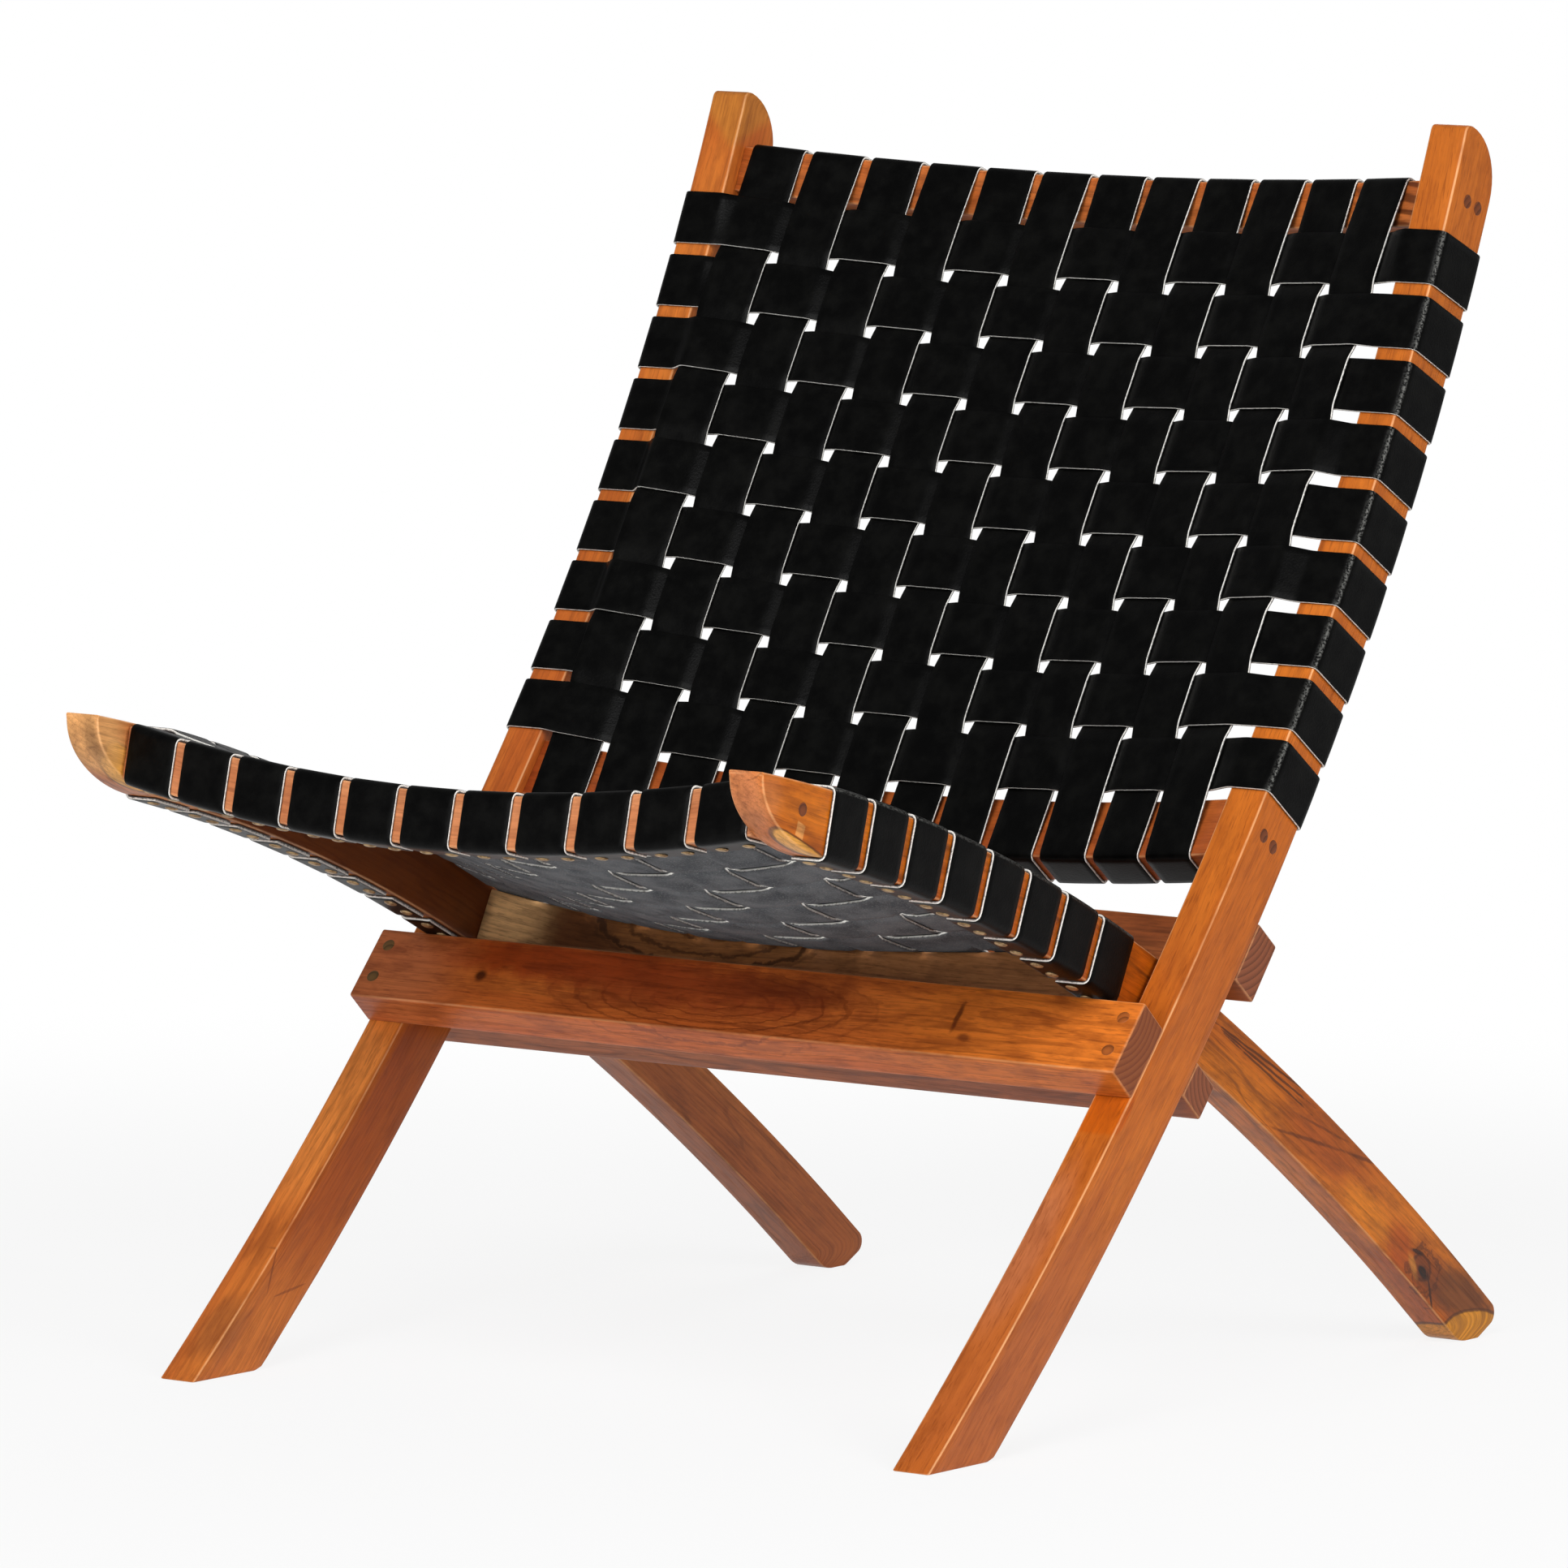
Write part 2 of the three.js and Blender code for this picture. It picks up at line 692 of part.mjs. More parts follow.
const halfCross = seatCrossThickness / 2;
const seatFace = seatCrossDrop - strapRise;
const frontRailFoot = seatCrossDrop + frontRailHeight;
const seatPanel = {
  line: seatLine,
  facing: -1,
  inner: seatInner,
  outer: seatOuter,
  depth: seatRailDepth,
  surface: (x, along) => {
    const share = (frontRail.middle - along) / (frontRail.middle - rearRail.middle);
    const bow = THREE.MathUtils.lerp(frontRailBow, rearRailBow, share) + seatSag * 4 * share * (1 - share);
    return seatLine.point(along, x, seatFace + bowAt(x, seatInner, bow));
  },
  columns: strapPlaces(seatSideMargin - seatInner, seatInner - seatSideMargin, seatStrapSpace),
  rows: strapPlaces(
    seatTotal - rearRailSetback + seatRowMargin,
    seatTotal - seatRowSetback,
    seatStrapSpace,
  ).toReversed(),
  firstBar: {
    ...frontRail,
    route: [
      { run: -halfCross, at: seatFace, out: [0, -1] },
      { run: halfCross, at: seatFace, out: [0, -1] },
      { run: halfCross + strapRise, at: seatCrossDrop, out: [1, 0] },
      { run: halfCross + strapRise, at: frontRailFoot, out: [1, 0] },
      { run: halfCross, at: frontRailFoot + strapRise, out: [0, 1] },
      { run: strapEndMargin - halfCross, at: frontRailFoot + strapRise, out: [0, 1] },
    ],
  },
  lastBar: {
    ...rearRail,
    route: [
      { run: halfCross, at: seatFace, out: [0, -1] },
      { run: -halfCross, at: seatFace, out: [0, -1] },
      { run: -halfCross - strapRise, at: seatCrossDrop, out: [-1, 0] },
      { run: -halfCross - strapRise, at: seatCrossDrop + strapTail, out: [-1, 0] },
    ],
  },
};

const panels = [
  { panel: backPanel, column: 'back_down_strap', row: 'back_across_strap' },
  { panel: seatPanel, column: 'seat_long_strap', row: 'seat_across_strap' },
];
for (const { panel, column, row } of panels) {
  panel.columns.forEach((place, index) => {
    const name = `${column}_${String(index + 1).padStart(2, '0')}`;
    addPart(name, columnStrap(panel, index), leather.top, 0.6);
  });
  panel.rows.forEach((place, index) => {
    addPart(`${row}_${index + 1}`, rowStrap(panel, index), leather.top, 0.6);
  });
}

// The origin is on the floor under the middle of the chair
const box = new THREE.Box3().setFromObject(placed);
placed.position.y = -(box.min.y + box.max.y) / 2;

export default chair;
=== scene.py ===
import math
import bpy
import numpy as np
from mathutils import Matrix, Vector


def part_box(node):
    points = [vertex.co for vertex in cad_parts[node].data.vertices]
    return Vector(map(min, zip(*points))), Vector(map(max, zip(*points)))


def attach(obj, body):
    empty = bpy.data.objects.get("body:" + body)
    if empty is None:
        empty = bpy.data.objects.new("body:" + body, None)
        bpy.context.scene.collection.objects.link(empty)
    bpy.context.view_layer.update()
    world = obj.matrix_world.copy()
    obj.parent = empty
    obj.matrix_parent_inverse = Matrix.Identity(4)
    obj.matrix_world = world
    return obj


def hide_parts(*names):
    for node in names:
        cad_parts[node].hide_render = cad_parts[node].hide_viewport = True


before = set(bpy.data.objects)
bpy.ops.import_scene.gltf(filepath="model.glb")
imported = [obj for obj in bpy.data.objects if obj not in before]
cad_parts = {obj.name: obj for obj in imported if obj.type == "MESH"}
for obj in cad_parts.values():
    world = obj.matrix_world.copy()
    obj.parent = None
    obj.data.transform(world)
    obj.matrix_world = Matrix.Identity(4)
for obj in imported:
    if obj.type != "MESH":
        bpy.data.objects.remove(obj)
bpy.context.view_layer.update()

mm = 0.001
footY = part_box("back_rail_left")[0].y  # the tips of the front feet

# The two rail lines: tangent arcs that climb from the floor, seen from the side, lengths in mm
stance = 754.6  # between the tips of the front and rear feet
backLine = {"footY": footY, "lean": 49.7, "heading": 1, "turn": -1, "arcs": ((500, 2549), (549.4, 1770))}
seatLine = {"footY": footY + stance * mm, "lean": 51.2, "heading": -1, "turn": 1,
            "arcs": ((445, 3088), (572, 1733))}
backLength = 1049.4
seatLength = 1017


# Place, climb direction and depth direction at distances along a rail line:
# on each arc the lean from upright changes evenly with the distance
def railFrame(line, distance):
    distance = np.asarray(distance, float)
    lean, y, z, start = math.radians(line["lean"]), line["footY"], 0.0, 0.0
    outY, outZ, outLean = np.zeros_like(distance), np.zeros_like(distance), np.zeros_like(distance)
    for index, (length, bend) in enumerate(line["arcs"]):
        reach = line["turn"] * bend * mm
        here = distance >= start if index else np.ones_like(distance, bool)
        turned = lean + line["turn"] * (distance - start) / bend
        outY = np.where(here, y + line["heading"] * reach * (math.cos(lean) - np.cos(turned)), outY)
        outZ = np.where(here, z + reach * (np.sin(turned) - math.sin(lean)), outZ)
        outLean = np.where(here, turned, outLean)
        last = lean + line["turn"] * length / bend
        y += line["heading"] * reach * (math.cos(lean) - math.cos(last))
        z += reach * (math.sin(last) - math.sin(lean))
        lean, start = last, start + length
    zero = np.zeros_like(outY)
    place = np.stack([zero, outY, outZ], -1)
    climb = np.stack([zero, line["heading"] * np.sin(outLean), np.cos(outLean)], -1)
    depth = np.stack([zero, line["heading"] * np.cos(outLean), -np.sin(outLean)], -1)
    return place, climb, depth


# The point at a distance along a rail line, x across the chair and a depth below its face, all in mm
def railPoint(line, distance, x, depth):
    distance, x, depth = np.broadcast_arrays(*(np.asarray(v, float) for v in (distance, x, depth)))
    place, climb, inward = railFrame(line, distance)
    point = place + inward * depth[..., None] * mm
    point[..., 0] = x * mm
    return point


# How far along a rail line the face at a depth meets the floor, by halving
def floorDistance(line, depth, limit=200.0, halvings=40):
    low, high = 0.0, limit
    for step in range(halvings):
        middle = (low + high) / 2
        below = railPoint(line, middle, 0, depth)[2] < 0
        low, high = (middle, high) if below else (low, middle)
    return low


# Hollow of a bowed edge: a parabola that is deepest in the middle and nothing at the ends
def bowAt(x, half, bow):
    return bow * (1 - (np.asarray(x, float) / half) ** 2)


# Lengths run along a line of points, from nothing at the first
def runLengths(points):
    return np.concatenate([[0], np.cumsum(np.linalg.norm(np.diff(points, axis=0), axis=1))])


# Stations at wanted lengths along a line, straight between the given ones
def pickAlong(points, lengths, wanted):
    place = np.clip(np.searchsorted(lengths, wanted, side="right") - 1, 0, len(lengths) - 2)
    share = (wanted - lengths[place]) / (lengths[place + 1] - lengths[place])
    share = share.reshape((-1,) + (1,) * (points.ndim - 1))
    return points[place] * (1 - share) + points[place + 1] * share


# Points along a line of corners, spread evenly by length
def evenly(points, count):
    lengths = runLengths(points)
    return pickAlong(points, lengths, np.linspace(0, lengths[-1], count))


def addObject(name, data):
    made = bpy.data.objects.new(name, data)
    bpy.context.scene.collection.objects.link(made)
    return made


# Mesh from grids of points: in each grid rows run along the piece and columns close round it,
# and both ends are capped
def closedTubes(name, grids, attributes):
    count, rows, columns = grids.shape[:3]
    index = np.arange(count * rows * columns).reshape(count, rows, columns)
    beside = np.roll(index, -1, 2)
    quads = np.stack([index[:, :-1], index[:, 1:], beside[:, 1:], beside[:, :-1]], -1).reshape(-1, 4)
    caps = np.stack([index[:, 0], index[:, -1, ::-1]], 1).reshape(-1, columns)
    mesh = bpy.data.meshes.new(name)
    mesh.vertices.add(index.size)
    mesh.vertices.foreach_set("co", grids.astype(np.float32).ravel())
    mesh.loops.add(quads.size + caps.size)
    mesh.loops.foreach_set("vertex_index", np.concatenate([quads.ravel(), caps.ravel()]).astype(np.int32))
    starts = np.concatenate([np.arange(len(quads)) * 4, quads.size + np.arange(len(caps)) * columns])
    mesh.polygons.add(len(starts))
    mesh.polygons.foreach_set("loop_start", starts.astype(np.int32))
    mesh.update(calc_edges=True)
    mesh.validate()
    mesh.polygons.foreach_set("use_smooth", np.arange(len(starts)) < len(quads))
    for label, values in attributes.items():
        vector = values.ndim == 4
        made = mesh.attributes.new(label, "FLOAT_VECTOR" if vector else "FLOAT", "POINT")
        made.data.foreach_set("vector" if vector else "value", values.astype(np.float32).ravel())
    return addObject(name, mesh)


def closedTube(name, grid, attributes):
    return closedTubes(name, grid[None], {label: values[None] for label, values in attributes.items()})


# Nodes

# Inputs of a node, each from another node's socket or as a plain value
def fillInputs(tree, node, inputs):
    for key, value in inputs.items():
        socket = node.inputs[key]
        if isinstance(value, bpy.types.NodeSocket):
            tree.links.new(value, socket)
        else:
            socket.default_value = value


def addNode(tree, kind, inputs=None, **settings):
    made = tree.nodes.new(kind)
    for label, value in settings.items():
        setattr(made, label, value)
    fillInputs(tree, made, inputs or {})
    return made


def mathNode(tree, operation, first, second=0.0):
    return addNode(tree, "ShaderNodeMath", {0: first, 1: second}, operation=operation).outputs[0]


def times(tree, first, second):
    return mathNode(tree, "MULTIPLY", first, second)


# A value times a factor, on top of a start
def scaled(tree, value, factor, start):
    return mathNode(tree, "ADD", times(tree, value, factor), start)


def vectorNode(tree, operation, first, second=(0.0, 0.0, 0.0)):
    return addNode(tree, "ShaderNodeVectorMath", {0: first, 1: second}, operation=operation).outputs[0]


def vectorValue(tree, operation, first, second=(0.0, 0.0, 0.0)):
    made = addNode(tree, "ShaderNodeVectorMath", {0: first, 1: second}, operation=operation)
    return made.outputs["Value"]


def scaleVector(tree, vector, factor):
    return addNode(tree, "ShaderNodeVectorMath", {0: vector, "Scale": factor}, operation="SCALE").outputs[0]


def mixColour(tree, factor, first, second):
    return addNode(tree, "ShaderNodeMix", {0: factor, 6: first, 7: second}, data_type="RGBA").outputs[2]


def noise(tree, vector, scale, detail=3.0, rough=0.55):
    inputs = {"Vector": vector, "Scale": scale, "Detail": detail, "Roughness": rough}
    return addNode(tree, "ShaderNodeTexNoise", inputs).outputs


# A noise's colour as a shift to all sides
def centred(tree, colour):
    return vectorNode(tree, "SUBTRACT", colour, (0.5, 0.5, 0.5))


# Noise drawn out along a plank: one cell is a length along it and a width across it, in metres
def plankNoise(tree, plank, length, width, detail, rough):
    cells = vectorNode(tree, "MULTIPLY", plank, (1 / length, 1 / width, 1 / width))
    return noise(tree, cells, 1.0, detail, rough)


def ramp(tree, value, low, high):
    inputs = {"Value": value, "From Min": low, "From Max": high, "To Min": 0.0, "To Max": 1.0}
    return addNode(tree, "ShaderNodeMapRange", inputs, interpolation_type="SMOOTHSTEP").outputs[0]


def attribute(tree, name):
    return addNode(tree, "ShaderNodeAttribute", attribute_name=name).outputs


def objectPlace(tree):
    return addNode(tree, "ShaderNodeTexCoord").outputs["Object"]


def addBump(tree, shader, height, strength, distance):
    bump = addNode(tree, "ShaderNodeBump", {"Height": height, "Strength": strength, "Distance": distance})
    fillInputs(tree, shader, {"Normal": bump.outputs[0]})


def startMaterial(name):
    material = bpy.data.materials.new(name)
    material.use_nodes = True
    tree = material.node_tree
    return material, tree, tree.nodes["Principled BSDF"]


def newGroup(name, inputs, outputs):
    group = bpy.data.node_groups.new(name, "ShaderNodeTree")
    for label, kind in inputs:
        group.interface.new_socket(label, in_out="INPUT", socket_type=kind)
    for label in outputs:
        group.interface.new_socket(label, in_out="OUTPUT", socket_type="NodeSocketFloat")
    return group, group.nodes.new("NodeGroupInput").outputs, group.nodes.new("NodeGroupOutput").inputs


def useGroup(tree, group, inputs):
    return addNode(tree, "ShaderNodeGroup", inputs, node_tree=group).outputs


# A display colour from 0 to 255 as the linear values that shaders take
def tone(*shown):
    return tuple(((v / 255 + 0.055) / 1.055) ** 2.4 if v > 10 else v / 255 / 12.92 for v in shown) + (1.0,)


# Noises of the grain: a cell's length and width in metres, detail and roughness
grainNoises = {
    "sway": (0.33, 0.11, 2.0, 0.5), "level": (0.26, 0.034, 2.0, 0.45), "patch": (0.21, 0.06, 1.0, 0.5),
    "fibre": (0.07, 0.0024, 4.0, 0.62), "pores": (0.009, 0.0007, 1.0, 0.5), "zones": (0.4, 0.038, 3.0, 0.55),
    "mottle": (0.04, 0.014, 4.0, 0.65), "dashes": (0.016, 0.0013, 2.0, 0.5),
}
# Where a figure begins to show and where it shows in full
grainLimits = {"patch": (0.47, 0.62), "pores": (0.62, 0.74), "veins": (0.72, 1.0), "mottle": (0.42, 0.68),
               "streaks": (0.46, 0.74), "dashes": (0.57, 0.68)}
ringRate = 210.0  # growth rings for each metre from the pith
ringSharpness = 2.2
veinTurns = 44.0  # how closely the level lines of the veins follow each other
fibreHeight = 0.5


# Timber grain, shared by every wooden finish. The plank's own place is (along, deep, across) in metres.
# Rings are the distance from a wandering pith line, and veins the level lines of a slow noise, in patches.
# Mottle is a blotchy figure; streaks, dashes and pores are finer and finer noise drawn out along the plank.
def makeGrainGroup():
    group, given, put = newGroup("timberGrain", [
        ("Plank", "NodeSocketVector"),
        ("Wander", "NodeSocketFloat"),
    ], ("Rings", "Zones", "Veins", "Mottle", "Streaks", "Dashes", "Pores", "Height"))
    plank = given["Plank"]

    def figure(label, place):
        return plankNoise(group, place, *grainNoises[label])

    def limited(label, value):
        return ramp(group, value, *grainLimits[label])

    sway = centred(group, figure("sway", plank)["Color"])
    moved = vectorNode(group, "ADD", plank, scaleVector(group, sway, given["Wander"]))
    radius = vectorValue(group, "LENGTH", vectorNode(group, "MULTIPLY", moved, (0, 1, 1)))
    turns = mathNode(group, "FRACT", times(group, radius, ringRate))
    waves = mathNode(group, "SINE", times(group, figure("level", moved)["Fac"], veinTurns))
    patch = limited("patch", figure("patch", plank)["Fac"])
    fibre = figure("fibre", moved)["Fac"]
    pores = limited("pores", figure("pores", moved)["Fac"])
    made = {
        "Rings": mathNode(group, "POWER", turns, ringSharpness),
        "Zones": figure("zones", moved)["Fac"],
        "Veins": times(group, limited("veins", waves), patch),
        "Mottle": limited("mottle", figure("mottle", moved)["Fac"]),
        "Streaks": limited("streaks", fibre),
        "Dashes": limited("dashes", figure("dashes", moved)["Fac"]),
        "Pores": pores,
        "Height": mathNode(group, "SUBTRACT", times(group, fibre, fibreHeight), pores),
    }
    for label, value in made.items():
        group.links.new(value, put[label])
    return group


markShake = {"scale": 75.0, "detail": 3.0, "rough": 0.6}


# A mark: how far a place is from a centre, in shares of a turned and stretched size, unevenly.
# Round counts the straight distance and makes an ellipsoid; Pointed adds the sides and makes a diamond.
def makeMarkGroup():
    group, given, put = newGroup("timberMark", [
        ("Place", "NodeSocketVector"),
        ("Centre", "NodeSocketVector"),
        ("Turn", "NodeSocketVector"),
        ("Size", "NodeSocketVector"),
        ("Wobble", "NodeSocketFloat"),
    ], ("Round", "Pointed"))
    inputs = {"Vector": given["Place"], "Location": given["Centre"], "Rotation": given["Turn"],
              "Scale": given["Size"]}
    local = addNode(group, "ShaderNodeMapping", inputs, vector_type="TEXTURE").outputs[0]
    shake = centred(group, noise(group, given["Place"], **markShake)["Color"])
    moved = vectorNode(group, "ADD", local, scaleVector(group, shake, given["Wobble"]))
    group.links.new(vectorValue(group, "LENGTH", moved), put["Round"])
    sides = vectorNode(group, "ABSOLUTE", moved)
    group.links.new(vectorValue(group, "DOT_PRODUCT", sides, (1, 1, 1)), put["Pointed"])
    return group


grainGroup = makeGrainGroup()
markGroup = makeMarkGroup()

# pale line on the eased edges of timbers: partly real wear, partly a painted highlight
edgeWearHighlightTone = tone(240, 186, 132)
capShares = {"rings": 0.3, "veins": 0.0, "streaks": 0.2, "dashes": 0.2, "edge": 0.0}  # of dowels and plugs


# A mark at a place in mm, with half sizes in mm, turned in degrees about the X axis; most are figures in the
# wood, a few are painted shade and painted highlights
def woodMark(at, size, shown, strength, turn=0, soft=0.2, wobble=0.2, pointed=False, rings=0, outline=0):
    return {"at": at, "size": size, "colour": tone(*shown), "strength": strength, "turn": turn, "soft": soft,
            "wobble": wobble, "pointed": pointed, "rings": rings, "outline": outline}


# A timber's shown colours, from body to end grain. Shares say how strongly each figure of the grain shows in
# the deep colour, and how strongly the eased edges are rubbed pale, a line that is partly real wear and
# partly a painted highlight.
def timberFinish(body, pale, deep, end, wander=0.016, mottle=0.3, marks=(), **shares):
    tones = {"body": tone(*body), "pale": tone(*pale), "deep": tone(*deep), "end": tone(*end)}
    return {**tones, "wander": wander, "mottle": mottle, "marks": marks, **shares}


woodFinishes = {
    "backRailRight": timberFinish((186, 96, 29), (208, 115, 38), (112, 46, 12), (150, 84, 48), rings=0.14,
        veins=0.12, streaks=0.3, dashes=0.4, edge=0.6, marks=[
            # painted shade: darkens the upper part of the right back rail against the right lamp's strong
            # light
            woodMark((296, 290, 740), (70, 150, 150), (186, 100, 32), 0.6, soft=0.5),
            woodMark((296, 110, 380), (70, 90, 110), (200, 106, 28), 0.5, soft=0.5),
            woodMark((296, -75, 209), (60, 6, 18), (190, 88, 12), 0.85, turn=-43, soft=0.12, wobble=0.1),
            # painted highlight: a pale pinkish satin sheen along the inner edge of the right front leg
            woodMark((289, -155, 128), (13, 6, 62), (212, 142, 104), 0.55, turn=-43, soft=0.6, wobble=0.3),
            woodMark((296, -215, 85), (80, 120, 120), (166, 88, 46), 0.6, soft=0.5),
        ]),
    "backRailLeft": timberFinish((186, 94, 36), (208, 118, 46), (108, 46, 16), (150, 84, 48), rings=0.18,
        veins=0.25, streaks=0.35, dashes=0.25, edge=0.45, marks=[
            woodMark((-284, 322, 846), (60, 66, 56), (196, 126, 50), 0.75, turn=-21, soft=0.12, wobble=0.05,
                     pointed=True),
            woodMark((-281, -209, 66), (14, 16, 0.9), (84, 40, 20), 0.6, turn=70),
            woodMark((-281, -190, 50), (12, 17, 0.9), (84, 40, 20), 0.55, turn=8),
            # darker towards the foot
            woodMark((-288, -256, 31), (16, 14, 26), (152, 86, 40), 0.7, turn=-49, soft=0.5, wobble=0.3),
            # painted light: paler up the left front leg, against the seat's shadow on it
            woodMark((-300, -110, 172), (30, 7, 90), (240, 144, 64), 0.85, turn=-43, soft=0.5, wobble=0.3),
            woodMark((-281, -115, 155), (3, 60, 120), (170, 74, 4), 0.7, turn=-43, soft=0.5, wobble=0.3),
        ]),
    "seatRailRight": timberFinish((176, 82, 10), (206, 112, 22), (76, 34, 9), (140, 80, 44), rings=0.22,
        veins=0.45, streaks=0.4, dashes=0.25, edge=0.4, mottle=0.4, marks=[
            woodMark((277, 110, 208), (12, 80, 16), (216, 122, 22), 0.6, turn=-27, soft=0.5),
            woodMark((277, 225, 152), (12, 70, 22), (158, 70, 26), 0.5, turn=-20, soft=0.6),
            woodMark((277, 275, 99), (12, 38, 12), (226, 130, 24), 0.75, turn=-38, soft=0.5, wobble=0.5),
            woodMark((277, 193, 161), (10, 46, 1.2), (84, 38, 16), 0.7, turn=-16, soft=0.5, wobble=1.8),
            woodMark((277, 214, 166), (10, 30, 0.9), (84, 38, 16), 0.6, turn=-22, soft=0.5, wobble=1.8),
            woodMark((277, 267, 139), (10, 26, 1.2), (84, 38, 16), 0.7, turn=-17, soft=0.5, wobble=1.8),
            woodMark((277, 386, 34), (40, 46, 16), (104, 56, 22), 0.85, turn=-22, soft=0.45, wobble=0.8),
            woodMark((277, 343, 56), (16, 26, 18), (132, 60, 14), 0.7, turn=-30, soft=0.4, wobble=1.4,
                     rings=1.6),
            woodMark((277, 312, 76), (12, 17, 14), (166, 66, 10), 0.7, turn=-35, soft=0.5, wobble=0.5),
            woodMark((277, 341, 57), (14, 12, 8.5), (120, 56, 18), 0.9, turn=-30, soft=0.2, wobble=0.7,
                     outline=0.2),
            woodMark((277, 343, 53), (14, 7, 3.6), (14, 7, 4), 1.0, turn=-45, soft=0.3, wobble=0.9),
            woodMark((277, 334, 69), (14, 9, 1.6), (22, 11, 6), 0.9, turn=-20, soft=0.4, wobble=1.6),
            woodMark((277, 352, 40), (14, 13, 1.2), (34, 16, 8), 0.9, turn=-75, soft=0.4, wobble=1.8),
            woodMark((277, 330, 60), (14, 10, 3), (206, 132, 52), 0.7, turn=-60, soft=0.5, wobble=0.9),
            woodMark((277, 410, -5), (60, 50, 25), (220, 144, 36), 0.95, turn=-7, soft=0.04, wobble=0.1,
                     outline=0.07),
            woodMark((277, -402, 410), (12, 38, 4.4), (238, 170, 74), 0.95, turn=-24, soft=0.1, wobble=0.15,
                     outline=0.22),
            woodMark((277, -396, 418), (12, 6, 7), (228, 156, 84), 0.9, turn=20, soft=0.1, wobble=0.1,
                     pointed=True),
            woodMark((262, -432, 440), (16, 22, 26), (212, 142, 98), 0.55, soft=0.4),
        ] + [
            woodMark((277, 138 + 4 * line, 221 - 6 * line), (10, 74 - 9 * line, 0.9), (58, 28, 12), 0.8,
                     turn=-27 - 2 * line, wobble=1.6)
            for line in range(3)
        ]),
    "seatRailLeft": timberFinish((166, 88, 38), (196, 114, 52), (84, 40, 18), (140, 80, 44), rings=0.22,
        veins=0.4, streaks=0.35, dashes=0.2, edge=0.4, marks=[
            woodMark((-250, -408, 420), (14, 26, 13), (232, 166, 62), 0.9, turn=-40, soft=0.15, wobble=0.3,
                     outline=0.12),
            woodMark((-264, -430, 440), (22, 26, 30), (236, 176, 112), 0.8, soft=0.4),
            woodMark((-258, -436, 436), (6, 14, 22), (112, 80, 48), 0.6, soft=0.6, wobble=0.3),
            # painted shade: darkens the inner face of the left seat rail, under the seat
            woodMark((-251, -100, 330), (6, 230, 120), (84, 34, 13), 0.8, turn=-20, soft=0.3),
        ]),
    "topRail": timberFinish((190, 98, 40), (210, 122, 62), (74, 30, 14), (140, 80, 44), rings=0.3,
        veins=0.3, streaks=0.4, dashes=0.2, edge=0.4, marks=[
            woodMark((262, 322 - 3 * line, 792 - 9 * line), (46, 30, 1.4 + line % 2), (56, 24, 14), 0.75,
                     turn=15, soft=0.4, wobble=1.2)
            for line in range(4)
        ]),
    "bottomRail": timberFinish((172, 80, 34), (198, 104, 46), (96, 40, 18), (140, 80, 44), rings=0.15,
        veins=0.25, streaks=0.35, dashes=0.2, edge=0.4),
    "frontRail": timberFinish((194, 120, 76), (216, 146, 98), (120, 62, 34), (140, 80, 44), rings=0.2,
        veins=0.25, streaks=0.4, dashes=0.2, edge=0.3),
    # partly the wood's colour, partly painted light: its tones are lifted to offset the shade it sits in
    # under the seat
    "rearRail": timberFinish((146, 94, 56), (170, 114, 70), (52, 29, 16), (110, 70, 40), rings=0.22,
        wander=0.04, veins=0.6, streaks=0.4, dashes=0.3, edge=0.2, mottle=0.4, marks=[
            woodMark((-232, -12, 295), (44, 60, 60), (236, 186, 128), 0.85, soft=0.25, wobble=0.4),
            woodMark((-165, -18, 288), (38, 40, 40), (86, 48, 24), 0.85, soft=0.5),
            woodMark((-64, -18, 306), (92, 60, 30), (150, 96, 52), 0.7, turn=-58, soft=0.2, wobble=0.3,
                     rings=3.0, outline=0.06),
        ]),
    # partly the wood's colour, partly painted light: its tones are lifted to offset the seat's shadow on it
    "frontBeam": timberFinish((200, 98, 40), (216, 116, 48), (98, 36, 12), (136, 74, 38), rings=0.26,
        wander=0.03, veins=0.3, streaks=0.42, dashes=0.35, edge=0.3, mottle=0.42, marks=[
            woodMark((-20, -73, 255), (105, 30, 26), (176, 80, 30), 0.3, turn=-42, soft=0.5, wobble=0.2,
                     rings=5.0),
            woodMark((-150, -60, 268), (120, 40, 15), (160, 58, 18), 0.85, turn=-42, soft=0.55, wobble=1.2),
            woodMark((-40, -68, 260), (100, 40, 18), (164, 70, 28), 0.8, turn=-42, soft=0.6, wobble=1.4),
            woodMark((30, -62, 266), (50, 30, 10), (96, 38, 16), 0.6, turn=-42, soft=0.7, wobble=1.2),
            woodMark((240, -70, 258), (110, 60, 60), (222, 122, 40), 0.75, soft=0.5),
            woodMark((-296, -70, 258), (58, 60, 60), (190, 108, 64), 0.75, soft=0.5),
            woodMark((174, -68, 260), (2.0, 20, 10), (58, 24, 10), 0.8, turn=-42, soft=0.5, wobble=2.2),
            woodMark((186, -79, 248), (5, 20, 3), (96, 42, 20), 0.7, turn=-42, soft=0.5, wobble=1.2),
            woodMark((-212, -72, 256), (4.5, 6, 4), (24, 10, 6), 0.9, soft=0.5, wobble=0.8),
        ]),
    "rearBeam": timberFinish((154, 80, 40), (176, 98, 52), (78, 38, 20), (138, 78, 50), rings=0.25,
        veins=0.4, streaks=0.45, dashes=0.3, edge=0.35),
    "dowelEnd": timberFinish((112, 60, 30), (132, 74, 40), (58, 28, 14), (118, 62, 32), **capShares),
    "plugEnd": timberFinish((112, 84, 46), (128, 98, 56), (56, 40, 22), (114, 84, 46), **capShares),
    "plugPale": timberFinish((160, 88, 40), (172, 98, 48), (80, 40, 18), (160, 86, 38), **capShares),
}


markLook = {"ringLimits": (0.7, 1.0), "ringFade": (1.6, 0.8), "ringShare": 0.6, "outlineCore": 0.25,
            "outlineShare": 0.8}


